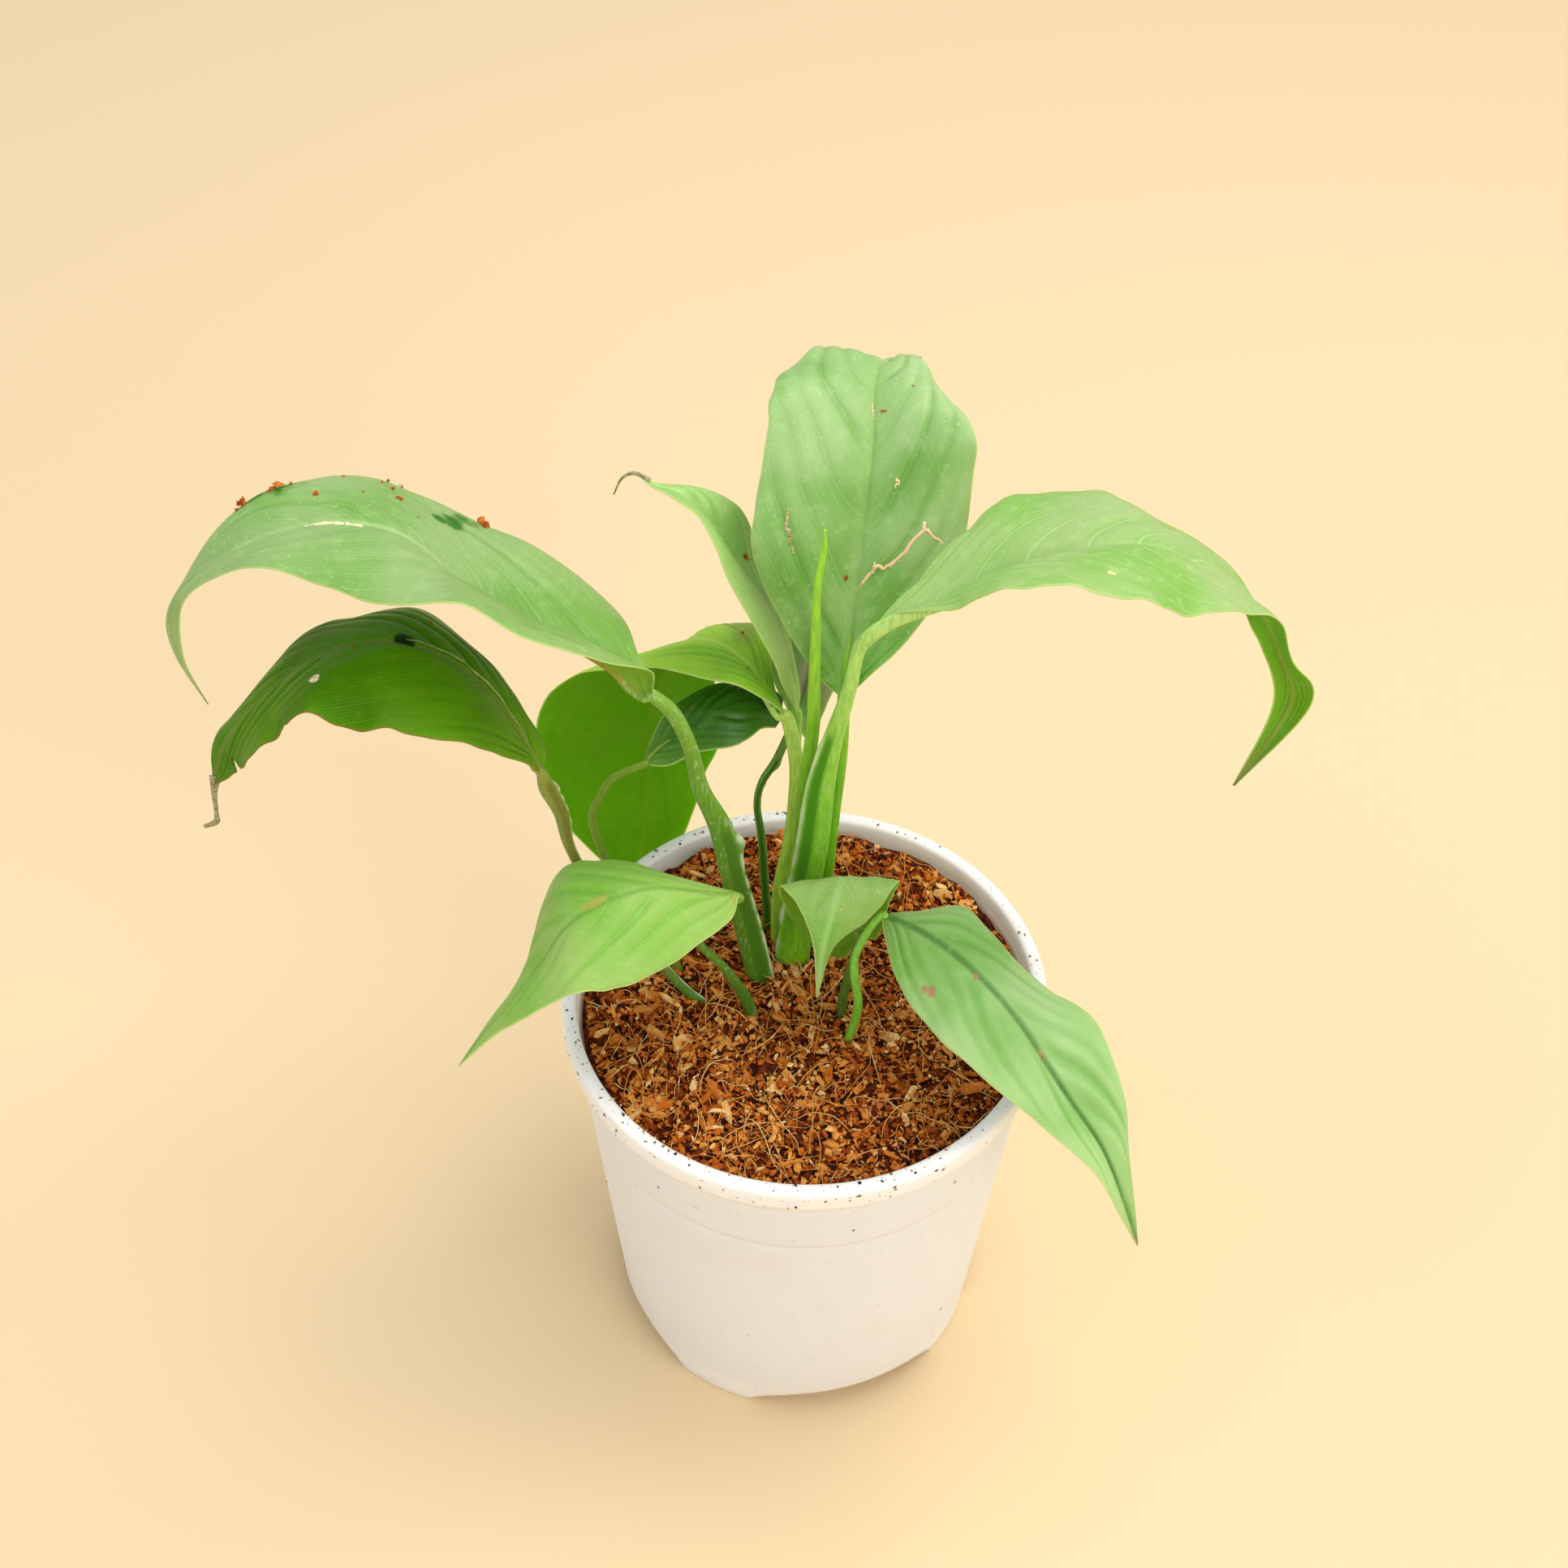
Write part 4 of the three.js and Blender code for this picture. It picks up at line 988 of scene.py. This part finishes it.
# The middle surface of a blade at (along, across): the straight line from midrib to margin, bowed up by
# 4w(1 - w), sunk by a Gaussian along each lateral vein, and waved near the margin.
def bladeShape(name, leaf, along, across):
    rows = np.array([[leaf["base"]] * 3] + leaf["rows"] + [[leaf["tip"]] * 3], float)
    curves = curveThrough(rows, along)
    left, rib, right = curves[:, 0], curves[:, 1], curves[:, 2]
    share = np.abs(across)[None, :, None]
    margin = np.where(across[None, :, None] < 0, left[:, None], right[:, None])
    flat = rib[:, None] * (1 - share) + margin * share
    ahead = unit(np.gradient(rib, axis=0))
    up = unit(np.cross(right - left, ahead))[:, None]
    half = np.linalg.norm(margin - rib[:, None], axis=-1)
    along = along[:, None]
    w = share[..., 0]
    side = np.sign(across)[None]
    seed = sum(map(ord, name))
    fade = np.clip(half / blade["fade"], 0, 1)
    phase = leaf["veins"] * (along - leaf["sweep"] * w**1.5) + 0.1 * ripple(along * 9, side, 2, seed)
    nearest = np.round(phase)
    # Each vein's hollow has a depth of its own. The spare ones are for veins that start before the base.
    depths = np.random.default_rng(seed).uniform(leaf["shallowest"], 1, (2, 2 * leaf["veins"] + 8)) ** 1.4
    vein = np.clip(nearest + leaf["veins"], 0, depths.shape[1] - 1).astype(int)
    hollow = depths[(side > 0).astype(int), vein] * np.exp(-(((phase - nearest) / leaf["veinWidth"]) ** 2))
    hollow = hollow * np.clip(5 * w, 0, 1) * (1 - w**4)
    waves = circle * leaf["frills"] * along
    sway = leaf["frill"] * w**3 * fade * (
        np.sin(waves + 2.1 * side + seed) + 0.3 * np.sin(2.3 * waves + 1.3 * side))
    sag = blade["sag"] * fade * ripple(flat[..., 0], flat[..., 1], blade["sagSpacing"], seed + 1, 5) * w
    height = leaf["bow"] * half * 4 * w * (1 - w) + sway + sag - leaf["quilt"] * fade * hollow
    reach = 1 + leaf["ragged"] * w**4 * ripple(along * 60, side, 5, seed + 2)
    for place, edge, depth, width in leaf["bites"]:
        bite = depth * np.exp(-(((along - place) / width) ** 2)) * (side == edge)
        reach = reach - w**4 * bite / np.maximum(half, 1)
    points = rib[:, None] + (flat - rib[:, None]) * reach[..., None] + up * height[..., None]
    return points, half, phase, hollow


# Normals of a grid of points: across crossed with along.
def gridNormals(points):
    return unit(np.cross(np.gradient(points, axis=1), np.gradient(points, axis=0)))


# How strongly each point lies in a list of round marks of [along, across, radius in mm].
def markField(marks, along, across, length, half):
    field = np.zeros(half.shape)
    for a, c, radius in marks:
        away = np.hypot((along[:, None] - a) * length, (across[None] - c) * half)
        field = np.maximum(field, np.exp(-((away / radius) ** 2)))
    return field


# Living leaf: waxy upper skin, pale lateral veins that sweep towards the tip, with painted shade in the
# hollows along them, a grooved midrib and a thin cartilage margin. The eye reads soft broad gloss, fine
# mottling and light that comes through the blade.
# The underside is duller, and its fine marks are weaker. The finest veins lie a fifth of the gap between
# lateral veins apart, wider than real ones.
def leafSkin(name, leaf, under):
    skin, face, line = "waxy leaf upper skin", "upper", "rib"
    if under:
        skin, face, line = "leaf underside", "under", "ribUnder"
    fine = 0.35 if under else 1.0
    gloss = leaf["gloss"] + (0.16 if under else 0.0)
    material, tree, shader = startMaterial(
        f"{skin} {name}", IOR=1.42, Subsurface_Weight=leaf["translucency"], Subsurface_Scale=1.0,
        Specular_IOR_Level=leaf["sheen"] * (0.5 if under else 1.0))
    shader.inputs["Subsurface Radius"].default_value = (0.0012, 0.0022, 0.0003)
    fields = {key: addNode(tree, "ShaderNodeAttribute", attribute_name=key).outputs["Fac"]
              for key in ("along", "ribGap", "marginGap", "veinPhase", "hollow", "blemish")}
    place = addNode(tree, "ShaderNodeTexCoord").outputs["Object"]
    sizes = {"cloud": 22, "patch": 3.8, "mottle": 2.4, "grain": 0.9, "dust": 0.67}
    noise = {key: addNode(tree, "ShaderNodeTexNoise",
                          {"Vector": place, "Scale": spots(size), "Detail": 2}).outputs[0]
             for key, size in sizes.items()}
    vein = addNode(tree, "ShaderNodeMath", {0: fields["veinPhase"], 1: 0.5}, operation="PINGPONG").outputs[0]
    finer = addNode(tree, "ShaderNodeMath", {0: fields["veinPhase"], 1: 5.0}, operation="MULTIPLY").outputs[0]
    threads = addNode(tree, "ShaderNodeMath", {0: finer, 1: 0.5}, operation="PINGPONG").outputs[0]
    spoiled = addNode(tree, "ShaderNodeMath", {0: fields["blemish"], 1: noise["patch"]}, operation="MULTIPLY")
    colour = layColours(tree, linearColour(leaf[face]), [
        (noise["cloud"], 0.36, 0.7, 0.0, leaf["mottling"], leaf["deep"]),
        (fields["along"], 0.0, 0.42, leaf["baseShare"], 0.0, leaf["baseTint"]),
        # Painted shade in the hollows along the lateral veins.
        (fields["hollow"], 0.0, 0.9, 0.0, leaf["hollowShade"], leaf["deep"]),
        (threads, 0.0, 0.25, leaf["threads"] * fine, 0.0, leaf["vein"]),
        (vein, 0.0, 0.04, leaf["veinLine"] * fine, 0.0, leaf["vein"]),
        (fields["ribGap"], 0.2, leaf["ribWidth"], leaf["ribLine"], 0.0, leaf[line]),
        (fields["marginGap"], 0.12, 0.4, 0.7, 0.0, leaf["marginTint"]),
        (noise["mottle"], 0.5, 0.75, 0.0, 0.2 * fine, leaf["vein"]),
        (noise["dust"], 0.64, 0.74, 0.0, leaf["specks"] * fine, "#E2E8C4"),
        (spoiled.outputs[0], 0.18, 0.42, 0.0, leaf["blemishShare"], leaf["blemishTint"]),
        (fields["along"], 0.93, 1.0, 0.0, leaf["dryTip"], "#8A7A52"),
    ])
    height = addNode(tree, "ShaderNodeMath", {0: threads, 1: 0.5, 2: noise["grain"]},
                     operation="MULTIPLY_ADD").outputs[0]
    finishSurface(tree, shader, colour, [noise["cloud"], gloss - 0.08, gloss + 0.14], [height, 0.22, 0.12])
    return material


# Faces of a thin sheet made of two grids of points, one above the other, closed round its four edges.
def sheetFaces(rows, columns):
    count = rows * columns
    skin = gridFaces(rows, columns)
    index = np.arange(count).reshape(rows, columns)
    strip = lambda edge: np.stack([edge[:-1], edge[1:], edge[1:] + count, edge[:-1] + count], -1)
    edges = [index[:, 0], index[::-1, -1], index[-1], index[0, ::-1]]
    rim = np.concatenate([strip(edge) for edge in edges])
    return [skin, skin[:, ::-1] + count, rim]


leafSurfaces = {}


# A blade is two skins a leaf's thickness apart, closed round the margin. The upper one has the midrib's
# groove, a Gaussian of the distance from it, and the lower one the midrib's ridge.
def makeBlade(name, leaf):
    along = np.linspace(blade["cut"], 1 - blade["cut"], blade["rows"])
    spread = np.linspace(-1, 1, 2 * blade["columns"] + 1)
    across = np.sign(spread) * np.abs(spread) ** 1.3
    middle, half, phase, hollow = bladeShape(name, leaf, along, across)
    normals = gridNormals(middle)
    length = np.linalg.norm(np.diff(middle[:, blade["columns"]], axis=0), axis=1).sum()
    ribGap = np.abs(across)[None] * half
    marginGap = (1 - np.abs(across))[None] * half
    taper = np.clip(1 - along, 0, 1)[:, None] ** 0.7
    body = np.clip(marginGap / blade["marginWidth"], 0, 1)
    thick = blade["marginThickness"] + (blade["thickness"] - blade["marginThickness"]) * body
    groove = np.exp(-((ribGap / blade["grooveWidth"]) ** 2)) * np.clip(half / 4, 0, 1)
    groove = blade["grooveDepth"] * taper * groove
    stalkWidth = leaf["stalk"][-1][3]
    ridge = np.exp(-((ribGap / (0.35 + 0.3 * stalkWidth * taper)) ** 2)) * np.clip(half / 3, 0, 1)
    ridge = blade["ridge"] * stalkWidth * taper * ridge
    upper = middle + normals * (thick / 2 - groove)[..., None]
    lower = middle - normals * (thick / 2 + ridge)[..., None]
    leafSurfaces[name] = (along, across, upper, normals)
    fields = {
        "along": np.repeat(along, len(across)),
        "ribGap": ribGap,
        "marginGap": marginGap,
        "veinPhase": phase,
        "hollow": hollow,
        "blemish": markField(leaf["blemishes"], along, across, length, half),
    }
    faces = sheetFaces(len(along), len(across))
    sides = np.repeat([0, 1, 0], [len(group) for group in faces])
    piece = makePiece(
        name + "_leaf", np.concatenate([upper.reshape(-1, 3), lower.reshape(-1, 3)]) * mm, faces,
        [leafSkin(name, leaf, False), leafSkin(name, leaf, True)], sides,
        {key: np.tile(np.ravel(values), 2) for key, values in fields.items()})
    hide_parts(name + "_blade")


stalkLook = {
    "rings": 150,
    "sides": 44,
    "thinnest": 0.3,
    "fibre": "#3E7A0E",
    "scurf": "#C8D8A8",
    "sheathEdge": "#D4E2B4",
    # Tint low down, tint higher up, and how much scurf there is.
    "skins": {
        "upper_left": ["#5E901E", "#82AC3E", 0.45],
        "shaded_left": ["#4C7A14", "#9C9C48", 0.2],
        "arching_back": ["#B4E044", "#CCEC74", 0.1],
        "inner": ["#6C8E20", "#7C9C28", 0.08],
        "narrow": ["#8CC83C", "#A8D860", 0.1],
        "tall_back": ["#78BC1C", "#90CC38", 0.1],
        "hidden_back": ["#4E8420", "#84A848", 0.15],
        "upper_right": ["#84CC18", "#C0E47C", 0.35],
        "lower_left": ["#446E14", "#88B040", 0.25],
        "front": ["#4E7020", "#84A43C", 0.15],
        "lower_right": ["#80C438", "#98D850", 0.1],
    },
    # Where a sheath opens: the shares of the stalk it runs between, the angles in degrees of its hollow's
    # middle, half width and pale edge, the hollow's depth and its wing's width as shares of the radius, and
    # the tint of the painted shade in its hollow.
    "sheaths": {
        "upper_left": {"bottom": -1, "top": 0.335, "middle": 292, "half": 34, "edge": 336, "depth": 0.2,
                       "wing": 0.8, "tint": "#4A7C1C"},
        "upper_right": {"bottom": 0.13, "top": 0.41, "middle": 238, "half": 34, "edge": 198, "depth": 0.3,
                        "wing": 0.2, "tint": "#489012"},
        "shaded_left": {"bottom": 0.2, "top": 0.62, "middle": 300, "half": 30, "edge": 352, "depth": 0.1,
                        "wing": 0.3, "tint": "#7A7A34"},
        "hidden_back": {"bottom": -1, "top": 0.55, "middle": 270, "half": 30, "edge": 0, "depth": 0.15,
                        "wing": 0.6, "tint": "#3E6A1C"},
    },
}


# Green leaf stalk: smooth and slightly glossy, darker low down, with lengthwise threads, painted shade down
# an open sheath's hollow and, on old sheaths, a whitish scurf that flakes along the length. Threads and
# flakes are drawn coarser than real ones.
def stalkSkin(name, low, high, scurf, sheathHollowShade=None, top=None):
    material, tree, shader = startMaterial(f"leaf stalk {name}", IOR=1.42, Subsurface_Weight=0.2,
                                           Subsurface_Scale=1.0, Specular_IOR_Level=0.35)
    shader.inputs["Subsurface Radius"].default_value = (0.001, 0.002, 0.0003)
    place = addNode(tree, "ShaderNodeTexCoord").outputs["Object"]
    fields = {key: addNode(tree, "ShaderNodeAttribute", attribute_name=key).outputs["Fac"]
              for key in ("along", "hollow", "edge")}
    stretched = addNode(tree, "ShaderNodeMapping",
                        {"Vector": place, "Scale": (spots(0.67), spots(0.67), spots(4.5))}).outputs[0]
    threads = addNode(tree, "ShaderNodeTexNoise", {"Vector": stretched, "Scale": 1, "Detail": 2}).outputs[0]
    patchy = addNode(tree, "ShaderNodeMapping",
                     {"Vector": place, "Scale": (spots(0.53), spots(0.53), spots(2.4))}).outputs[0]
    flakes = addNode(tree, "ShaderNodeTexNoise",
                     {"Vector": patchy, "Scale": 1, "Detail": 4, "Roughness": 0.65}).outputs[0]
    colour = layColours(tree, linearColour(low), [
        (fields["along"], 0.1, 0.8, 0.0, 1.0, high),
        (fields["along"], 0.82, 0.95, 0.0, 0.8, top or high),
        (threads, 0.35, 0.7, 0.0, 0.3, stalkLook["fibre"]),
        (flakes, 0.53, 0.66, 0.0, scurf, stalkLook["scurf"]),
        # Painted shade down the open sheath's hollow.
        (fields["hollow"], 0.0, 1.0, 0.0, 1.0, sheathHollowShade or low),
        (fields["edge"], 0.0, 0.9, 0.0, 1.0, stalkLook["sheathEdge"]),
    ])
    finishSurface(tree, shader, colour, [flakes, 0.32, 0.55], [threads, 0.3, 0.15])
    return material


# A solid stem along a path: each ring is an ellipse square to the path, its wide axis level, with its
# radius changed by the swell factor. The ends are closed with flat caps.
def stemSurface(path, width, depth, sides, swell=1):
    ahead = unit(np.gradient(path, axis=0))
    wide = unit(np.cross([0.0, 1.0, 0.0], ahead))
    deep = np.cross(ahead, wide)
    angle = np.arange(sides) * circle / sides
    a, b = width[:, None] / 2 * np.cos(angle) * swell, depth[:, None] / 2 * np.sin(angle) * swell
    points = path[:, None] + wide[:, None] * a[..., None] + deep[:, None] * b[..., None]
    ring = np.arange(sides)
    caps = np.stack([ring[::-1], ring + (len(path) - 1) * sides])
    return points.reshape(-1, 3), [gridFaces(len(path), sides, closed=True), caps]


# Where a stalk's sheath opens: a hollow down its face, and a thin crinkled edge beside it that stands out
# as a small wing at the top. Gives the swell of the radius and the hollow and edge fields.
def sheathShape(name, place):
    degrees = np.arange(stalkLook["sides"])[None] * 360 / stalkLook["sides"]
    level = place[:, None]
    if name not in stalkLook["sheaths"]:
        nothing = 0 * level * degrees
        return nothing + 1, nothing, nothing
    sheath = stalkLook["sheaths"][name]
    away = lambda middle: np.abs((degrees - middle + 180) % 360 - 180)
    below = 1 / (1 + np.exp((level - sheath["top"]) / 0.008))
    above = 1 / (1 + np.exp((sheath["bottom"] - level) / 0.02))
    hollow = below * above * np.exp(-((away(sheath["middle"]) / sheath["half"]) ** 4))
    crinkle = 1 + 0.6 * ripple(level * 100, 0 * level, 2.2, len(name))
    edge = below * np.exp(-((away(sheath["edge"]) / 6.5) ** 2))
    wing = sheath["wing"] * np.exp(-(((level - sheath["top"] + 0.02) / 0.018) ** 2))
    return 1 - sheath["depth"] * hollow + edge * (0.1 * crinkle + wing), hollow, np.clip(edge * crinkle, 0, 1)


# The stalk's end under the blade: it follows the midrib and thins away into its ridge.
def stalkTail(leaf):
    reach = np.array([0.03, 0.09, 0.16, 0.24])
    shares = np.array([0.95, 0.8, 0.6, 0.3])
    rows = np.array([[leaf["base"]] * 3] + leaf["rows"] + [[leaf["tip"]] * 3], float)
    left, rib, right = np.moveaxis(curveThrough(rows, reach), 1, 0)
    ahead = curveThrough(rows[:, 1], reach + 0.01) - rib
    under = -unit(np.cross(right - left, ahead))
    size = shares[:, None] * np.array(leaf["stalk"][-1][3:5])
    return np.concatenate([rib + under * (0.15 + leaf["tailDrop"] * size[:, :1]), size], 1)


# The stalk runs from the crown to the blade's base and on under the midrib.
def makeStalk(name, leaf, ownRibUnder):
    table = np.concatenate([np.array(leaf["stalk"], float), leaf.get("run", stalkTail(leaf))])
    place = np.linspace(0, 1, stalkLook["rings"])
    line = curveThrough(table, place)
    swell, hollow, edge = sheathShape(name, place)
    sheathHollowShade = stalkLook["sheaths"].get(name, {}).get("tint")
    skin = stalkSkin(name, *stalkLook["skins"][name], sheathHollowShade, ownRibUnder)
    width, depth = np.maximum(line[:, 3:].T, stalkLook["thinnest"])
    points, faces = stemSurface(line[:, :3], width, depth, stalkLook["sides"], swell)
    piece = makePiece(name + "_petiole", points * mm, faces, [skin],
                      fields={"along": np.repeat(place, stalkLook["sides"]), "hollow": hollow, "edge": edge})
    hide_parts(name + "_stalk")


for leafName, own in leaves.items():
    leaves[leafName] = {**leafDefaults, **own}
    makeBlade(leafName, leaves[leafName])
    makeStalk(leafName, leaves[leafName], own.get("ribUnder"))
print("leaves made:", len(leaves))


spear = {
    "rows": [
        [-2, 15, 124, 2, 2], [-2, 15, 142, 2.5, 2.4], [-1, 15, 155, 3, 2.6], [0, 16, 169, 2.9, 2.6],
        [0, 16, 178, 2.7, 2.5], [0, 16, 194, 2.2, 2.2], [0, 15, 207, 1.7, 1.7], [1, 15, 217, 1.2, 1.2],
        [1, 15, 222, 0.5, 0.5],
    ],
    "rings": 120,
    "sides": 40,
    "turns": 0.6,
    "lap": 0.16,
    "skin": ["#86C420", "#A4DC40", 0.08],
}


# A rolled leaf: its outline in section is a spiral, so one lap stands out by a step that winds up the spear.
def makeSpear():
    place = np.linspace(0, 1, spear["rings"])
    line = curveThrough(spear["rows"], place)
    angle = np.arange(spear["sides"]) / spear["sides"]
    wound = (angle[None] - spear["turns"] * place[:, None] + 0.3) % 1.0
    swell = 1 - spear["lap"] * wound
    points, faces = stemSurface(line[:, :3], line[:, 3], line[:, 4], spear["sides"], swell)
    skin = stalkSkin("new leaf", *spear["skin"])
    piece = makePiece("new_leaf_spear", points * mm, faces, [skin],
                      fields={"along": np.repeat(place, spear["sides"])})
    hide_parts("furled_leaf")


makeSpear()
print("new leaf made")


# A place on a leaf's upper skin, and the skin's normal there, for each row of [along, across].
def onLeaf(name, marks):
    along, across, upper, normals = leafSurfaces[name]
    marks = np.asarray(marks, float)
    i = np.clip(np.searchsorted(along, marks[:, 0]), 0, len(along) - 1)
    j = np.clip(np.searchsorted(across, marks[:, 1]), 0, len(across) - 1)
    return upper[i, j], normals[i, j]


# Dry corky tissue over a healed split, pale tissue round a tear, or a withered tip: matt and finely grained.
def corkSkin(name, tint):
    material, tree, shader = startMaterial(f"healed leaf cork {name}", Roughness=0.75)
    place = addNode(tree, "ShaderNodeTexCoord").outputs["Object"]
    grain = addNode(tree, "ShaderNodeTexNoise",
                    {"Vector": place, "Scale": spots(0.7), "Detail": 3}).outputs[0]
    shade = addNode(tree, "ShaderNodeMapRange",
                    {"Value": grain, "From Min": 0.35, "From Max": 0.7, "To Max": 0.45}).outputs[0]
    colour = addNode(tree, "ShaderNodeMix",
                     {0: shade, 6: linearColour(tint), 7: linearColour("#F6E6C8")}, data_type="RGBA")
    finishSurface(tree, shader, colour.outputs[2])
    return material


wear = {
    "scarRings": 40,
    "scarSides": 10,
    "tipRings": 40,
    "tipSides": 12,
    "tipTint": "#74703A",
    "crumbSeed": 23,
}


# Each scar is a low thread laid along its marks, thickest in the middle of its run.
def makeScars(name, scars):
    rings = wear["scarRings"]
    for k, (tint, width, marks) in enumerate(scars):
        table, normals = onLeaf(name, curveThrough(marks, np.linspace(0, 1, 24)))
        path = curveThrough(table + normals * -0.12 * width, np.linspace(0, 1, rings))
        swell = width * (0.35 + 0.65 * np.sin(math.pi * np.linspace(0.05, 0.95, rings)) ** 0.6)
        swell = swell * (1 + 0.2 * ripple(np.arange(float(rings)), np.zeros(rings), 5, k))
        points, faces = stemSurface(path, swell, swell, wear["scarSides"])
        skin = corkSkin(f"{name} {k + 1}", tint)
        makePiece(f"{name}_scar_{k + 1}", points * mm, faces, [skin])


# Withered drip tips: thin dry threads that go on from the end of the blade.
def makeDrip(name, rows):
    line = curveThrough(rows, np.linspace(0, 1, wear["tipRings"]))
    points, faces = stemSurface(line[:, :3], line[:, 3], line[:, 4], wear["tipSides"])
    skin = corkSkin(name + " dry tip", wear["tipTint"])
    makePiece(name + "_dry_tip", points * mm, faces, [skin])


# Crumbs of coir left on the leaves by the last potting: each is three small lumps stuck together.
def makeLeafCrumbs(material):
    draw = np.random.default_rng(wear["crumbSeed"])
    places, sizes = [], []
    for name, leaf in leaves.items():
        for a, c, size in leaf["crumbs"]:
            point, normal = onLeaf(name, [[a, c]])
            for _ in range(3):
                places.append(point[0] + normal[0] * 0.1 * size + draw.normal(0, 0.22, 3) * size)
                sizes.append(size * draw.uniform([0.35, 0.25, 0.2], [0.8, 0.55, 0.45]))
    count = len(places)
    turns = randomTurns(draw, count, 1.0)
    tones = draw.uniform(0.25, 0.6, count)
    scatter("coir_on_leaves", lump, np.array(places), np.array(sizes), turns, 0.2, tones, material, draw)


dirt = {
    "lipFlecks": 420,
    "wallFlecks": 45,
    "onTop": 0.55,  # share of the lip's flecks that lie on it and not on its side
    "clumped": 0.6,
    "clumps": [-100, -78, -60, -135, -160, 25, 60, 95, 120, 150],  # azimuths in degrees
    "clumpSpread": 9,
    "smallest": 0.12,
    "seed": 31,
}


# Flecks of coir stuck to the pot's lip and skirt, most of them in clumps round it, and a few on its wall.
def makePotDirt(material):
    draw = np.random.default_rng(dirt["seed"])
    count = dirt["lipFlecks"] + dirt["wallFlecks"]
    onLip = np.arange(count) < dirt["lipFlecks"]
    onTop = onLip & (draw.uniform(0, 1, count) < dirt["onTop"])
    clump = np.radians(draw.choice(dirt["clumps"], count) + draw.normal(0, dirt["clumpSpread"], count))
    inClump = draw.uniform(0, 1, count) < dirt["clumped"]
    azimuth = np.where(inClump, clump, draw.uniform(-math.pi, math.pi, count))
    sideZ = np.where(onLip, potHeight - 1.2 - (pot["skirt"] - 1.8) * draw.uniform(0, 1, count) ** 1.5,
                     draw.uniform(12, potHeight - 8, count))
    radius = np.where(onTop, draw.uniform(pot["lipInner"] + 0.6, pot["lipRadius"] - 0.8, count),
                      np.where(onLip, pot["lipRadius"], wallRadius(sideZ)))
    height = np.where(onTop, potHeight, sideZ)
    places = np.stack([radius * np.cos(azimuth), radius * np.sin(azimuth), height], 1)
    size = dirt["smallest"] + 0.42 * draw.uniform(0, 1, count) ** 3
    sizes = size[:, None] * draw.uniform([0.7, 0.5, 0.25], [1.5, 1.0, 0.5], (count, 3))
    away = np.stack([np.cos(azimuth), np.sin(azimuth), 0 * azimuth], 1)
    outward = np.where(onTop[:, None], [[0, 0, 1.0]], away)
    level = np.stack([-np.sin(azimuth), np.cos(azimuth), 0 * azimuth], 1)
    turns = np.stack([level, np.cross(outward, level), outward], 2) @ randomTurns(draw, count, 0.1)
    scatter("coir_on_pot", lump, places, sizes, turns, 0.2, draw.uniform(0.0, 0.7, count), material, draw)


for leafName, leaf in leaves.items():
    makeScars(leafName, leaf["scars"])
    if "drip" in leaf:
        makeDrip(leafName, leaf["drip"])
makeLeafCrumbs(looseCoir)
makePotDirt(coirMaterial("dried coir dust", 1.1, mix["dust"]))
print("scars, dry tips and loose dirt made")


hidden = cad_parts["rootstock"]
hidden.data.materials.clear()
hidden.data.materials.append(stalkSkin("rootstock", "#B9A27C", "#C8B48C", 0.3))
